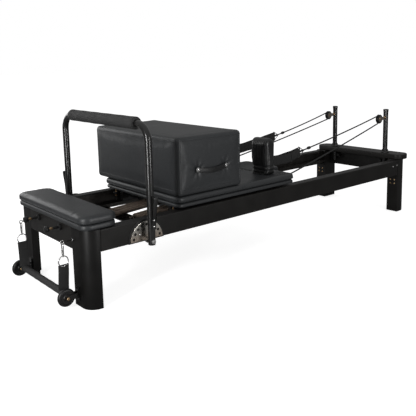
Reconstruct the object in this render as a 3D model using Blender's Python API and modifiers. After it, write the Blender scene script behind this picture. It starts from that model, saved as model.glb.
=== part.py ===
"""Pilates reformer: frame, sliding carriage, springs, footbar, ropes, sitting box and hanging bar.

Metres, +Z up. The origin is on the floor, below the middle of the machine's length. +X runs from
the foot end to the head end, where the two rope risers stand, and Y = 0 is the plane of symmetry.
Every X below is first given from the outer face of the foot end panel, and `at` moves it here.
"""

import math

import bmesh
import bpy
import numpy as np
from mathutils import Matrix, Vector

GAP = 0.0003
NEAR, FAR = -1, 1
SIDES = {"near": NEAR, "far": FAR}

# Driving dimensions
MACHINE_WIDTH = 0.680
HALF_WIDTH = MACHINE_WIDTH / 2
FOOT_FACE_X = -1.1665
RAIL_END = 2.305
HEAD_FACE = 2.420
RAIL_BOTTOM, RAIL_TOP = 0.250, 0.347
RAIL_THICKNESS = 0.056
COLUMN_TOP = 0.350
FOOT_COLUMN_LENGTH = 0.068
END_PANEL_HALF = 0.215
HEAD_BEAM_FACE = 2.369
HEAD_BEAM_HALF = 0.262
TRACK_INNER, TRACK_TOP = 0.235, 0.285
TRACK_WEB = 0.008
PAD_TOP = 0.410
PAD_BOTTOM = 0.378
CARRIAGE_START, CARRIAGE_END = 0.485, 1.300
CARRIAGE_BOTTOM = 0.356
HEADREST_START, HEADREST_END, HEADREST_HALF = 1.183, 1.385, 0.142
REST_START, REST_END = 1.132, 1.212
REST_INNER, REST_OUTER, REST_TOP = 0.145, 0.272, 0.612
BAIL_X, BAIL_Z = REST_END + 0.022, 0.470
BOX_START, BOX_END = 0.487, 0.895
BOX_NEAR, BOX_FAR, BOX_TOP = -0.340, 0.412, 0.693
FOOTBAR_X, FOOTBAR_Y, FOOTBAR_RADIUS = 0.298, 0.385, 0.0165
FOOTBAR_TOP, FOOTBAR_BEND = 0.774, 0.080
PIVOT_Z = 0.257
QUADRANT_RADIUS = 0.085
RISER_X, RISER_Y, RISER_RADIUS, RISER_TOP = 2.350, 0.210, 0.016, 0.678
SHEAVE_X, SHEAVE_Z, SHEAVE_RADIUS, GROOVE_RADIUS = 2.272, 0.617, 0.030, 0.020
ROPE_RADIUS = 0.0042
WHEEL_X, WHEEL_Y, WHEEL_Z, WHEEL_RADIUS = -0.057, 0.245, 0.0545, 0.040
ROLLER_RADIUS, ROLLER_Y = 0.026, 0.250
ROLLER_X = (0.560, 1.220)
HANGER_X, HANGER_BAR_Z, HANGER_BAR_RADIUS = -0.047, 0.060, 0.016
HANGER_Y, HANGER_LOW_Y, HANGER_EYE_Z = 0.218, 0.206, 0.281
SPRING_RADIUS, SPRING_END = 0.013, 0.615
SPRING_LINES = {
    1: (0.115, 0.245),
    2: (0.080, 0.245),
    3: (0.045, 0.245),
    4: (-0.060, 0.412),
    5: (-0.095, 0.412),
}
STRAP_TOP, STRAP_LEAN = 0.1835, 0.100
LOOPS = {"near": (1.470, 0.492), "far": (1.700, 0.522)}

FINISHES = {
    "powder_coat": ((0.055, 0.055, 0.058, 1), 0.5, 0.25),
    "black_steel": ((0.020, 0.020, 0.022, 1), 0.4, 0.3),
    "vinyl": ((0.075, 0.076, 0.080, 1), 0.5, 0.0),
    "zinc": ((0.62, 0.56, 0.46, 1), 0.4, 0.9),
    "brass": ((0.60, 0.44, 0.22, 1), 0.35, 1.0),
    "steel": ((0.55, 0.54, 0.52, 1), 0.3, 1.0),
    "black_plastic": ((0.015, 0.015, 0.016, 1), 0.3, 0.0),
    "webbing": ((0.025, 0.025, 0.026, 1), 0.9, 0.0),
    "foam": ((0.050, 0.050, 0.053, 1), 0.7, 0.0),
}


def at(x):
    """X in the machine's frame of a place given from the foot end panel's face."""
    return FOOT_FACE_X + x


def clear_scene():
    for obj in list(bpy.data.objects):
        bpy.data.objects.remove(obj, do_unlink=True)


def new_collection(name):
    collection = bpy.data.collections.new(name)
    bpy.context.scene.collection.children.link(collection)
    return collection


def finish_of(name):
    material = bpy.data.materials.get(name)
    if material:
        return material
    color, roughness, metallic = FINISHES[name]
    material = bpy.data.materials.new(name)
    material.use_nodes = True
    shader = material.node_tree.nodes["Principled BSDF"]
    shader.inputs["Base Color"].default_value = color
    shader.inputs["Roughness"].default_value = roughness
    shader.inputs["Metallic"].default_value = metallic
    return material


def adopt(obj, name, finish):
    """Names the object, gives it its finish and puts it in the machine's collection."""
    obj.name = name
    obj.data.name = name
    obj.data.materials.clear()
    obj.data.materials.append(finish_of(finish))
    for collection in list(obj.users_collection):
        collection.objects.unlink(obj)
    PARTS.objects.link(obj)
    return obj


def mesh_object(name, bm, finish, smooth=False):
    mesh = bpy.data.meshes.new(name)
    bmesh.ops.recalc_face_normals(bm, faces=bm.faces)
    bm.to_mesh(mesh)
    bm.free()
    obj = bpy.data.objects.new(name, mesh)
    bpy.context.scene.collection.objects.link(obj)
    if smooth:
        mesh.shade_smooth()
        mesh.set_sharp_from_angle(angle=math.radians(35))
    return adopt(obj, name, finish)


def add_bevel(obj, width, segments=2, angle=40):
    bevel = obj.modifiers.new("rounded_edges", "BEVEL")
    bevel.width = width
    bevel.segments = segments
    bevel.limit_method = "ANGLE"
    bevel.angle_limit = math.radians(angle)
    return obj


def box_mesh(low, high):
    """A box between two corners, each given with X from the foot end."""
    low = Vector((at(low[0]), low[1], low[2]))
    high = Vector((at(high[0]), high[1], high[2]))
    bm = bmesh.new()
    bmesh.ops.create_cube(bm, size=1.0, matrix=Matrix.Translation((low + high) / 2))
    bmesh.ops.scale(
        bm, vec=high - low, verts=bm.verts, space=Matrix.Translation(-(low + high) / 2)
    )
    return bm


def box(name, low, high, finish, bevel=0.0, segments=2):
    obj = mesh_object(name, box_mesh(low, high), finish)
    return add_bevel(obj, bevel, segments) if bevel else obj


def side_box(name, side, low, high, finish, bevel=0.0):
    """A box on one side of the machine: low and high give |Y|."""
    near, far = sorted((side * low[1], side * high[1]))
    return box(name, (low[0], near, low[2]), (high[0], far, high[2]), finish, bevel)


def cylinder_mesh(start, end, radius, sides=16):
    start = Vector((at(start[0]), start[1], start[2]))
    end = Vector((at(end[0]), end[1], end[2]))
    turn = (end - start).to_track_quat("Z", "Y").to_matrix().to_4x4()
    bm = bmesh.new()
    bmesh.ops.create_cone(
        bm,
        cap_ends=True,
        segments=sides,
        radius1=radius,
        radius2=radius,
        depth=(end - start).length,
        matrix=Matrix.Translation((start + end) / 2) @ turn,
    )
    return bm


def cylinder(name, start, end, radius, finish, sides=16):
    return mesh_object(name, cylinder_mesh(start, end, radius, sides), finish, smooth=True)


def evaluated_copy(obj, name):
    """The object as its modifiers leave it, or a curve's surface, as a welded mesh object."""
    graph = bpy.context.evaluated_depsgraph_get()
    mesh = bpy.data.meshes.new_from_object(obj.evaluated_get(graph))
    bm = bmesh.new()
    bm.from_mesh(mesh)
    bmesh.ops.remove_doubles(bm, verts=bm.verts, dist=0.00001)
    bmesh.ops.recalc_face_normals(bm, faces=bm.faces)
    bm.to_mesh(mesh)
    bm.free()
    new = bpy.data.objects.new(name, mesh)
    new.matrix_world = obj.matrix_world.copy()
    bpy.context.scene.collection.objects.link(new)
    bpy.data.objects.remove(obj, do_unlink=True)
    return new


def outline_solid(name, points, plane, low, high, finish, holes=(), bevel=0.0):
    """A flat outline, with holes, drawn in a plane and given a thickness from low to high.

    plane is the pair of axes that the points' two numbers run along: "XY", "XZ" or "YZ".
    """
    curve = bpy.data.curves.new(name, "CURVE")
    curve.dimensions = "2D"
    curve.fill_mode = "BOTH"
    curve.extrude = (high - low) / 2
    for ring in (points, *holes):
        spline = curve.splines.new("POLY")
        spline.points.add(len(ring) - 1)
        for point, (a, b) in zip(spline.points, ring):
            point.co = (a, b, 0, 1)
        spline.use_cyclic_u = True
    obj = bpy.data.objects.new(name, curve)
    bpy.context.scene.collection.objects.link(obj)
    middle = (low + high) / 2
    first, second, normal = {
        "XY": (Vector((1, 0, 0)), Vector((0, 1, 0)), Vector((0, 0, 1))),
        "XZ": (Vector((1, 0, 0)), Vector((0, 0, 1)), Vector((0, 1, 0))),
        "YZ": (Vector((0, 1, 0)), Vector((0, 0, 1)), Vector((1, 0, 0))),
    }[plane]
    turn = Matrix((first, second, normal)).transposed().to_4x4()
    origin = Vector((at(0), 0, 0)) if plane != "YZ" else Vector((0, 0, 0))
    offset = normal * (at(middle) if plane == "YZ" else middle)
    obj.matrix_world = Matrix.Translation(origin + offset) @ turn
    bpy.context.view_layer.update()
    solid = evaluated_copy(obj, name)
    bake_place(solid)
    adopt(solid, name, finish)
    return add_bevel(solid, bevel) if bevel else solid


def bake_place(obj):
    """Moves the object's place into its mesh, and turns its faces outwards again if it was mirrored."""
    mirrored = obj.matrix_world.determinant() < 0
    obj.data.transform(obj.matrix_world)
    obj.matrix_world = Matrix.Identity(4)
    if mirrored:
        obj.data.flip_normals()


def arc(center, radius, start, end, steps):
    """Points of a round stretch, angles in degrees, both ends included."""
    angles = np.radians(np.linspace(start, end, steps + 1))
    return [(center[0] + radius * math.cos(a), center[1] + radius * math.sin(a)) for a in angles]


def rounded_rectangle(low, high, radius, steps=5):
    corners = (
        ((high[0] - radius, high[1] - radius), 0),
        ((low[0] + radius, high[1] - radius), 90),
        ((low[0] + radius, low[1] + radius), 180),
        ((high[0] - radius, low[1] + radius), 270),
    )
    return [p for center, start in corners for p in arc(center, radius, start, start + 90, steps)]


def turned(name, place, axis, profile, finish, steps=24):
    """A turned shape: profile lists (radius, height) down its outer side, height along axis from place."""
    mesh = bpy.data.meshes.new(name)
    edges = [(i, i + 1) for i in range(len(profile) - 1)]
    if profile[0][0] > 0:
        edges.append((len(profile) - 1, 0))
    mesh.from_pydata([(radius, 0, height) for radius, height in profile], edges, [])
    obj = bpy.data.objects.new(name, mesh)
    bpy.context.scene.collection.objects.link(obj)
    turn = Vector(axis).to_track_quat("Z", "Y").to_matrix().to_4x4()
    obj.matrix_world = Matrix.Translation((at(place[0]), place[1], place[2])) @ turn
    screw = obj.modifiers.new("turned", "SCREW")
    screw.axis = "Z"
    screw.steps = steps
    screw.render_steps = steps
    screw.use_merge_vertices = True
    screw.merge_threshold = 0.00001
    screw.use_smooth_shade = False
    return adopt(obj, name, finish)


def tube(name, points, radius, finish, resolution=2, cyclic=False):
    """A round bar or cord along the points, which give X from the foot end."""
    curve = bpy.data.curves.new(name, "CURVE")
    curve.dimensions = "3D"
    curve.bevel_depth = radius
    curve.bevel_resolution = resolution
    curve.use_fill_caps = True
    spline = curve.splines.new("POLY")
    spline.points.add(len(points) - 1)
    for point, (x, y, z) in zip(spline.points, points):
        point.co = (at(x), y, z, 1)
    spline.use_cyclic_u = cyclic
    obj = bpy.data.objects.new(name, curve)
    bpy.context.scene.collection.objects.link(obj)
    return adopt(obj, name, finish)


def fuse(name, pieces, finish):
    """Joins overlapping objects into one solid."""
    body = evaluated_copy(pieces[0], name)
    bake_place(body)
    for piece in pieces[1:]:
        piece = evaluated_copy(piece, piece.name + "_tool")
        bake_place(piece)
        union = body.modifiers.new("join", "BOOLEAN")
        union.operation = "UNION"
        union.object = piece
        bpy.context.view_layer.update()
        body = evaluated_copy(body, name)
        bpy.data.objects.remove(piece, do_unlink=True)
    return adopt(body, name, finish)


def side_points(points, side):
    """Points given with |Y|, put on one side of the machine."""
    return [(x, side * y, z) for x, y, z in points]


# Frame


def build_side_rails():
    inner = HALF_WIDTH - RAIL_THICKNESS
    for word, side in SIDES.items():
        low = (FOOT_COLUMN_LENGTH + GAP, inner, RAIL_BOTTOM)
        high = (RAIL_END - GAP, HALF_WIDTH, RAIL_TOP)
        side_box(f"side_rail_{word}", side, low, high, "powder_coat", 0.005)


def build_end_panel():
    half = END_PANEL_HALF - GAP
    low = (0.0, -half, RAIL_BOTTOM)
    box("end_panel", low, (0.026, half, COLUMN_TOP), "powder_coat", 0.002)


def build_foot_columns():
    """An L-shaped post: its outer corner is a quarter round, its inner end a thin flange."""
    corner, flange = 0.060, 0.032
    inner = HALF_WIDTH - RAIL_THICKNESS
    rounded = arc((corner, HALF_WIDTH - corner), corner, 180, 90, 8)
    outline = [(0.0, END_PANEL_HALF), *rounded, (FOOT_COLUMN_LENGTH, HALF_WIDTH)]
    outline += [(FOOT_COLUMN_LENGTH, inner), (flange + 0.012, inner - 0.012)]
    outline += [(flange, inner - 0.030), (flange, END_PANEL_HALF)]
    for word, side in SIDES.items():
        points = [(x, side * y) for x, y in outline]
        outline_solid(f"foot_column_{word}", points, "XY", 0.0, COLUMN_TOP, "powder_coat", bevel=0.0015)


def build_head_columns():
    """A pie-shaped post: flat inside faces and one quarter-round outer corner."""
    corner = HALF_WIDTH - HEAD_BEAM_HALF - GAP
    center = (HEAD_FACE - corner, HALF_WIDTH - corner)
    outline = [(RAIL_END, HEAD_BEAM_HALF), (RAIL_END, HALF_WIDTH), *arc(center, corner, 90, 0, 8)]
    outline += [(HEAD_FACE, HEAD_BEAM_HALF)]
    for word, side in SIDES.items():
        points = [(x, side * y) for x, y in outline]
        outline_solid(f"head_column_{word}", points, "XY", 0.0, COLUMN_TOP, "powder_coat", bevel=0.0015)


def build_head_beam_and_cap():
    half = HEAD_BEAM_HALF - GAP
    low, high = (HEAD_BEAM_FACE, -half, RAIL_BOTTOM), (HEAD_FACE, half, COLUMN_TOP)
    box("head_beam", low, high, "powder_coat", 0.002)
    outline = rounded_rectangle((2.310, -0.350), (2.430, 0.350), 0.050)
    holes = [arc((RISER_X, side * RISER_Y), RISER_RADIUS + 0.001, 0, 337.5, 15) for side in (NEAR, FAR)]
    outline_solid("head_cap", outline, "XY", COLUMN_TOP + GAP, 0.384, "powder_coat", holes, bevel=0.004)


def build_tracks():
    """An L-shaped ledge inside each rail. The carriage's wheels roll on its foot."""
    outer = HALF_WIDTH - RAIL_THICKNESS - GAP
    web = outer - TRACK_WEB
    outline = [(TRACK_INNER, 0.275), (web, 0.275), (web, 0.255), (outer, 0.255)]
    outline += [(outer, 0.340), (web, 0.340), (web, TRACK_TOP), (TRACK_INNER, TRACK_TOP)]
    for word, side in SIDES.items():
        points = [(side * y, z) for y, z in outline]
        outline_solid(f"track_{word}", points, "YZ", 0.170, 2.290, "powder_coat")


def spring_height(x):
    """Height of the springs' axes: they rise a little from the foot end to the carriage."""
    return 0.281 + 0.06 * (x - 0.37)


def build_spring_bars():
    """The foot bar holds three springs, the second bar the other two. Each spring hooks on a post."""
    half = TRACK_INNER + 0.040
    rows = {"spring_bar": (0.205, 0.245, (1, 2, 3)), "second_spring_bar": (0.382, 0.470, (4, 5))}
    for name, (start, end, numbers) in rows.items():
        pieces = [box(name, (start, -half, 0.250), (end, half, 0.2590), "black_steel", 0.002)]
        for number in numbers:
            line, spring_start = SPRING_LINES[number]
            x = spring_start - 0.014
            height = spring_height(x) + 0.008
            pieces.append(cylinder("post", (x, line, 0.255), (x, line, height), 0.004, "steel", 10))
        fuse(name, pieces, "black_steel")


def build_platform():
    outline = rounded_rectangle((-0.012, -0.343), (0.165, 0.343), 0.045)
    outline_solid("platform_base", outline, "XY", COLUMN_TOP + GAP, 0.3755, "vinyl", bevel=0.003)
    outline = rounded_rectangle((-0.016, -0.346), (0.169, 0.346), 0.048)
    outline_solid("platform_pad", outline, "XY", 0.3758, PAD_TOP, "vinyl", bevel=0.008)


def build_quadrants():
    """A half-round plate with a row of lock holes, and the spacer that the footbar turns on."""
    center = (FOOTBAR_X, PIVOT_Z)
    outline = arc(center, QUADRANT_RADIUS, 0, 180, 24) + [(FOOTBAR_X, PIVOT_Z - 0.004)]
    holes = []
    for degrees in range(10, 180, 20):
        turn = math.radians(degrees)
        hole = (center[0] + 0.070 * math.cos(turn), center[1] + 0.070 * math.sin(turn))
        holes.append(arc(hole, 0.0058, 0, 315, 7))
    inner, outer = HALF_WIDTH + GAP, HALF_WIDTH + 0.008
    for word, side in SIDES.items():
        low, high = sorted((side * inner, side * outer))
        plate = outline_solid(f"quadrant_{word}", outline, "XZ", low, high, "zinc", holes)
        start = (FOOTBAR_X, side * (outer - 0.002), PIVOT_Z)
        end = (FOOTBAR_X, side * (FOOTBAR_Y - FOOTBAR_RADIUS - 0.0005), PIVOT_Z)
        fuse(f"quadrant_{word}", [plate, cylinder("spacer", start, end, 0.013, "steel", 16)], "zinc")


def build_risers():
    """A straight post with its collar on the cap and a thicker plug on top."""
    radius = RISER_RADIUS
    top = RISER_TOP
    profile = [(0, top), (0.0155, top), (0.0175, top - 0.002), (0.0175, top - 0.016), (radius, top - 0.017)]
    profile += [(radius, 0.405), (0.021, 0.403), (0.021, 0.394), (0.027, 0.391), (0.027, 0.3845)]
    profile += [(radius, 0.3845), (radius, 0.286), (0, 0.286)]
    for word, side in SIDES.items():
        turned(f"riser_{word}", (RISER_X, side * RISER_Y, 0), (0, 0, 1), profile, "black_steel", 16)


def build_pulleys():
    """Each block hangs from the riser by an eye. Two round cheeks carry the sheave on an axle."""
    rim, half = SHEAVE_RADIUS, 0.0072
    profile = [(rim, half), (rim, 0.0058), (GROOVE_RADIUS, 0.0048), (GROOVE_RADIUS, -0.0048)]
    profile += [(rim, -0.0058), (rim, -half), (0.0036, -half), (0.0036, half)]
    for word, side in SIDES.items():
        y = side * RISER_Y
        turned(f"sheave_{word}", (SHEAVE_X, y, SHEAVE_Z), (0, 1, 0), profile, "black_plastic", 20)
        start, end = (SHEAVE_X, y - 0.0108, SHEAVE_Z), (SHEAVE_X, y + 0.0108, SHEAVE_Z)
        pieces = [cylinder("axle", start, end, 0.0033, "steel", 12)]
        for way in (-1, 1):
            start = (SHEAVE_X, y + way * 0.0080, SHEAVE_Z)
            end = (SHEAVE_X, y + way * 0.0102, SHEAVE_Z)
            pieces.append(cylinder("cheek", start, end, 0.020, "steel", 16))
            low = (SHEAVE_X - 0.004, min(start[1], end[1]), SHEAVE_Z - 0.008)
            high = (SHEAVE_X + 0.039, max(start[1], end[1]), SHEAVE_Z + 0.012)
            pieces.append(box("strap", low, high, "steel"))
        low = (SHEAVE_X + 0.033, y - 0.0090, SHEAVE_Z - 0.008)
        high = (SHEAVE_X + 0.039, y + 0.0090, SHEAVE_Z + 0.012)
        pieces.append(box("bridge", low, high, "steel"))
        start = (SHEAVE_X + 0.036, y, SHEAVE_Z + 0.004)
        end = (RISER_X - RISER_RADIUS - 0.0008, y, SHEAVE_Z + 0.004)
        pieces.append(cylinder("eye_shank", start, end, 0.005, "steel", 10))
        fuse(f"pulley_block_{word}", pieces, "steel")


def build_pegs():
    """Two pegs on the end panel that park the ropes or straps: boss, brass shaft and black knob."""
    profile = [(0, 0.076), (0.010, 0.076), (0.014, 0.072), (0.014, 0.060), (0.010, 0.056), (0.006, 0.055)]
    profile += [(0.006, 0.012), (0.015, 0.010), (0.015, GAP), (0, GAP)]
    for word, side in SIDES.items():
        turned(f"peg_{word}", (0.0, side * 0.110, 0.327), (-1, 0, 0), profile, "black_plastic", 16)


def build_transport_wheels():
    """A wheel in a fork on each foot column, just off the floor. It rolls when the head is lifted."""
    half = 0.011
    profile = [(0.033, half), (WHEEL_RADIUS, 0.007), (WHEEL_RADIUS, -0.007), (0.033, -half)]
    profile += [(0.0056, -half), (0.0056, half)]
    for word, side in SIDES.items():
        y = side * WHEEL_Y
        turned(f"transport_wheel_{word}", (WHEEL_X, y, WHEEL_Z), (0, 1, 0), profile, "black_plastic", 28)
        pieces = [box("plate", (-0.0050, y - 0.016, 0.030), (-GAP, y + 0.016, 0.092), "black_steel")]
        for way in (-1, 1):
            edges = sorted((y + way * 0.0125, y + way * 0.0160))
            low = (WHEEL_X - 0.010, edges[0], WHEEL_Z - 0.011)
            pieces.append(box("cheek", low, (-0.0030, edges[1], WHEEL_Z + 0.011), "black_steel"))
        start, end = (WHEEL_X, y - 0.020, WHEEL_Z), (WHEEL_X, y + 0.020, WHEEL_Z)
        pieces.append(cylinder("axle", start, end, 0.005, "brass", 12))
        fuse(f"wheel_bracket_{word}", pieces, "black_steel")


# Footbar


def build_footbar():
    """A U of round tube: two legs outside the rails, two bends and the cross bar."""
    bend = FOOTBAR_BEND
    y, z = FOOTBAR_Y, FOOTBAR_TOP
    corner = arc((y - bend, z - bend), bend, 0, 90, 7)
    half = [(FOOTBAR_X, y, 0.244)] + [(FOOTBAR_X, a, b) for a, b in corner]
    points = side_points(half, NEAR) + side_points(half[::-1], FAR)
    tube("footbar", points, FOOTBAR_RADIUS, "black_steel", 3)
    bore, radius, half_length = FOOTBAR_RADIUS + 0.0006, 0.029, 0.300
    profile = [(radius - 0.004, half_length), (radius, half_length - 0.004), (radius, 0.004 - half_length)]
    profile += [(radius - 0.004, -half_length), (bore, -half_length), (bore, half_length)]
    turned("footbar_roll", (FOOTBAR_X, 0, FOOTBAR_TOP), (0, 1, 0), profile, "foam", 24)


def build_lock_levers():
    """A flat lever on each leg's outer side that pulls the lock pin. Its top leans outwards."""
    inner = FOOTBAR_Y + FOOTBAR_RADIUS + GAP
    outline = [(inner, 0.316), (inner + 0.007, 0.316), (inner + 0.007, 0.368), (inner + 0.030, 0.452)]
    outline += [(inner + 0.028, 0.462), (inner + 0.018, 0.462), (inner, 0.380)]
    for word, side in SIDES.items():
        points = [(side * y, z) for y, z in outline]
        name = f"lock_lever_{word}"
        low, high = FOOTBAR_X - 0.011, FOOTBAR_X + 0.011
        outline_solid(name, points, "YZ", low, high, "black_plastic", bevel=0.002)


# Hanging bar


def build_hanging_bar():
    """A padded bar in two webbing straps, each clipped to an eye under the end panel."""
    radius, end = HANGER_BAR_RADIUS, HANGER_LOW_Y + 0.006
    profile = [(0, end), (radius - 0.003, end), (radius, end - 0.003), (radius, 0.003 - end)]
    profile += [(radius - 0.003, -end), (0, -end)]
    turned("hanging_bar", (HANGER_X, 0, HANGER_BAR_Z), (0, 1, 0), profile, "foam", 20)
    strap_bottom = HANGER_BAR_Z + HANGER_BAR_RADIUS + GAP
    for word, side in SIDES.items():
        low = (HANGER_X - 0.024, HANGER_Y - 0.0025, strap_bottom)
        high = (HANGER_X + 0.024, HANGER_Y + 0.0025, STRAP_TOP)
        strap = side_box(f"hanging_strap_{word}", side, low, high, "webbing")
        for vertex in strap.data.vertices:
            vertex.co.y -= side * STRAP_LEAN * (STRAP_TOP - vertex.co.z)
        y = side * HANGER_Y
        ring = [(HANGER_X + a, y, b) for a, b in arc((0, 0.2090), 0.023, 0, 337.5, 15)]
        ring = tube("ring", ring, 0.0022, "steel", 1, cyclic=True)
        clip = arc((0, 0.2340), 0.004, 180, 360, 4) + arc((0, HANGER_EYE_Z), 0.008, 0, 180, 6)
        clip = tube("clip", [(HANGER_X, y + a, b) for a, b in clip], 0.0022, "steel", 1, cyclic=True)
        fuse(f"hanging_ring_{word}", [ring, clip], "steel")


# Carriage


def build_chassis():
    """Two bearers with stub axles for the wheels, and cross bars. The springs hook on the first one."""
    pieces = [box("anchor", (0.622, -0.215, 0.284), (0.640, 0.215, 0.3557), "black_steel")]
    pieces.append(box("rear_cross", (1.150, -0.215, 0.315), (1.180, 0.215, 0.3557), "black_steel"))
    for side in (NEAR, FAR):
        near, far = sorted((side * 0.205, side * 0.230))
        pieces.append(box("bearer", (0.520, near, 0.296), (1.270, far, 0.3557), "black_steel"))
        for x in ROLLER_X:
            axle_z = TRACK_TOP + GAP + ROLLER_RADIUS
            start, end = (x, side * 0.220, axle_z), (x, side * 0.2645, axle_z)
            pieces.append(cylinder("stub", start, end, 0.005, "brass", 12))
    fuse("carriage_chassis", pieces, "black_steel")


def build_carriage_wheels():
    half = 0.009
    profile = [(ROLLER_RADIUS - 0.002, half), (ROLLER_RADIUS, half - 0.002), (ROLLER_RADIUS, 0.002 - half)]
    profile += [(ROLLER_RADIUS - 0.002, -half), (0.0055, -half), (0.0055, half)]
    axle_z = TRACK_TOP + GAP + ROLLER_RADIUS
    for word, side in SIDES.items():
        for end_word, x in zip(("foot", "head"), ROLLER_X):
            name = f"carriage_wheel_{word}_{end_word}"
            turned(name, (x, side * ROLLER_Y, axle_z), (0, 1, 0), profile, "black_plastic", 24)


def build_carriage_deck():
    low, high = (CARRIAGE_START + 0.003, -0.337), (CARRIAGE_END - 0.003, 0.337)
    outline = rounded_rectangle(low, high, 0.026)
    outline_solid("carriage_base", outline, "XY", CARRIAGE_BOTTOM, PAD_BOTTOM - GAP, "vinyl", bevel=0.003)
    notch = HEADREST_HALF + 0.001
    radius, edge = 0.030, HALF_WIDTH - 0.001
    half = [(HEADREST_START - 0.003, notch), (CARRIAGE_END, notch)]
    half += arc((CARRIAGE_END - radius, edge - radius), radius, 0, 90, 5)
    half += arc((CARRIAGE_START + radius, edge - radius), radius, 90, 180, 5)
    outline = half + [(x, -y) for x, y in half[::-1]]
    outline_solid("carriage_pad", outline, "XY", PAD_BOTTOM, PAD_TOP, "vinyl", bevel=0.005)


def build_shoulder_rests():
    """An upright block with a fully round top, and the bail behind it that holds a rope's loop."""
    radius = (REST_END - REST_START) / 2
    bottom = PAD_TOP + GAP
    round_top = arc((REST_START + radius, REST_TOP - radius), radius, 0, 180, 10)
    outline = [(REST_START, bottom), (REST_END, bottom), *round_top]
    for word, side in SIDES.items():
        low, high = sorted((side * REST_INNER, side * REST_OUTER))
        block = outline_solid("block", outline, "XZ", low, high, "vinyl", bevel=0.008)
        middle = side * (REST_INNER + REST_OUTER) / 2
        root, turn = REST_END - 0.006, BAIL_X - 0.004
        route = [(root, -0.036), (turn, -0.036), (BAIL_X, -0.032), (BAIL_X, 0.032), (turn, 0.036), (root, 0.036)]
        bail = tube("bail", [(x, middle, BAIL_Z + z) for x, z in route], 0.004, "steel", 1)
        fuse(f"shoulder_rest_{word}", [block, bail], "vinyl")


def build_headrest():
    low, high = (HEADREST_START, -HEADREST_HALF), (HEADREST_END, HEADREST_HALF)
    outline = rounded_rectangle(low, high, 0.025)
    outline_solid("headrest", outline, "XY", PAD_BOTTOM + GAP, PAD_TOP + 0.002, "vinyl", bevel=0.005)


def build_springs():
    """Each closed coil as its outer cylinder, with the shanks of its two end hooks."""
    for number, (line, start) in SPRING_LINES.items():
        middle = [(x, line, spring_height(x)) for x in (start, SPRING_END - 0.006)]
        ends = [(x, line, spring_height(x)) for x in (start - 0.009, SPRING_END + 0.006)]
        coil = cylinder("coil", *middle, SPRING_RADIUS, "steel", 12)
        fuse(f"spring_{number}", [coil, cylinder("shank", *ends, 0.0025, "steel", 6)], "steel")


def rope_route(clip_x, clip_z):
    """Carriage anchor, up to the sheave's underside, round it, and back down to the loop's clip."""
    around = GROOVE_RADIUS + ROPE_RADIUS + GAP
    lower_angle, upper_angle = -78, 100
    arc_points = arc((SHEAVE_X, SHEAVE_Z), around, lower_angle, upper_angle, 12)
    anchor = np.array((CARRIAGE_END + 0.004, 0.280, 0.392))
    leave = np.array((arc_points[0][0], RISER_Y, arc_points[0][1]))
    sag = 0.006
    lower = []
    for part in np.linspace(0, 1, 11)[:-1]:
        x, y, z = anchor + (leave - anchor) * part
        lower.append((x, y, z - sag * 4 * part * (1 - part)))
    top = np.array((arc_points[-1][0], RISER_Y, arc_points[-1][1]))
    clip = np.array((clip_x, RISER_Y, clip_z))
    upper = []
    for part in np.linspace(0, 1, 9)[1:]:
        x, y, z = top + (clip - top) * part
        upper.append((x, y, z - sag * 4 * part * (1 - part)))
    return lower + [(x, RISER_Y, z) for x, z in arc_points] + upper


def band_outline(middles, halves):
    """The edge of a long band round points along X: two bowed sides and two round ends."""
    first = arc(middles[0], halves[0], 90, 270, 6)
    last = arc(middles[-1], halves[-1], -90, 90, 6)
    inner = list(zip(middles, halves))[1:-1]
    lower = [(x, y - half) for (x, y), half in inner]
    upper = [(x, y + half) for (x, y), half in inner[::-1]]
    return first + lower + last + upper


def build_ropes_and_loops():
    """A rope on each side, and between its end and the rest's bail a webbing loop that stands on edge."""
    thickness, narrow, belly, sag, half_height = 0.0025, 0.0085, 0.007, 0.010, 0.026
    for word, side in SIDES.items():
        loop_x, loop_z = LOOPS[word]
        route = rope_route(loop_x + 0.013, loop_z + 0.003)
        tube(f"rope_{word}", side_points(route, side), ROPE_RADIUS, "webbing", 2)
        y = side * (REST_INNER + REST_OUTER) / 2
        parts = np.linspace(0, 1, 8)
        middles = [(BAIL_X + (loop_x - BAIL_X) * part, y) for part in parts]
        halves = [narrow + belly * math.sin(math.pi * part) for part in parts]
        outer = band_outline(middles, halves)
        inside = band_outline(middles, [half - thickness for half in halves])
        low, high = BAIL_Z - half_height, BAIL_Z + half_height
        loop = outline_solid(f"rope_loop_{word}", outer, "XY", low, high, "webbing", [inside])
        for vertex in loop.data.vertices:
            part = (vertex.co.x - at(BAIL_X)) / (loop_x - BAIL_X)
            hang = sag * math.sin(math.pi * min(1, max(0, part)))
            vertex.co.z += (loop_z - BAIL_Z) * part - hang


# Sitting box


def build_sitting_box():
    low = (BOX_START, BOX_NEAR, PAD_TOP + GAP)
    box("sitting_box", low, (BOX_END, BOX_FAR, BOX_TOP), "vinyl", 0.016, 3)
    middle = (BOX_START + BOX_END) / 2
    for word, face, way in (("near", BOX_NEAR, NEAR), ("far", BOX_FAR, FAR)):
        outer, inner = [], []
        for part in np.linspace(0, 1, 9):
            x = middle + 0.098 * (2 * part - 1)
            hang = 0.012 * math.sin(math.pi * part)
            proud = 0.0035 + 0.012 * math.sin(math.pi * part)
            outer.append((x, face + way * (proud + 0.003), 0.530 - hang))
            inner.append((x, face + way * proud, 0.530 - hang))
        strap_grid(f"box_handle_{word}", outer, inner, 0.0125, "vinyl")


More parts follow.
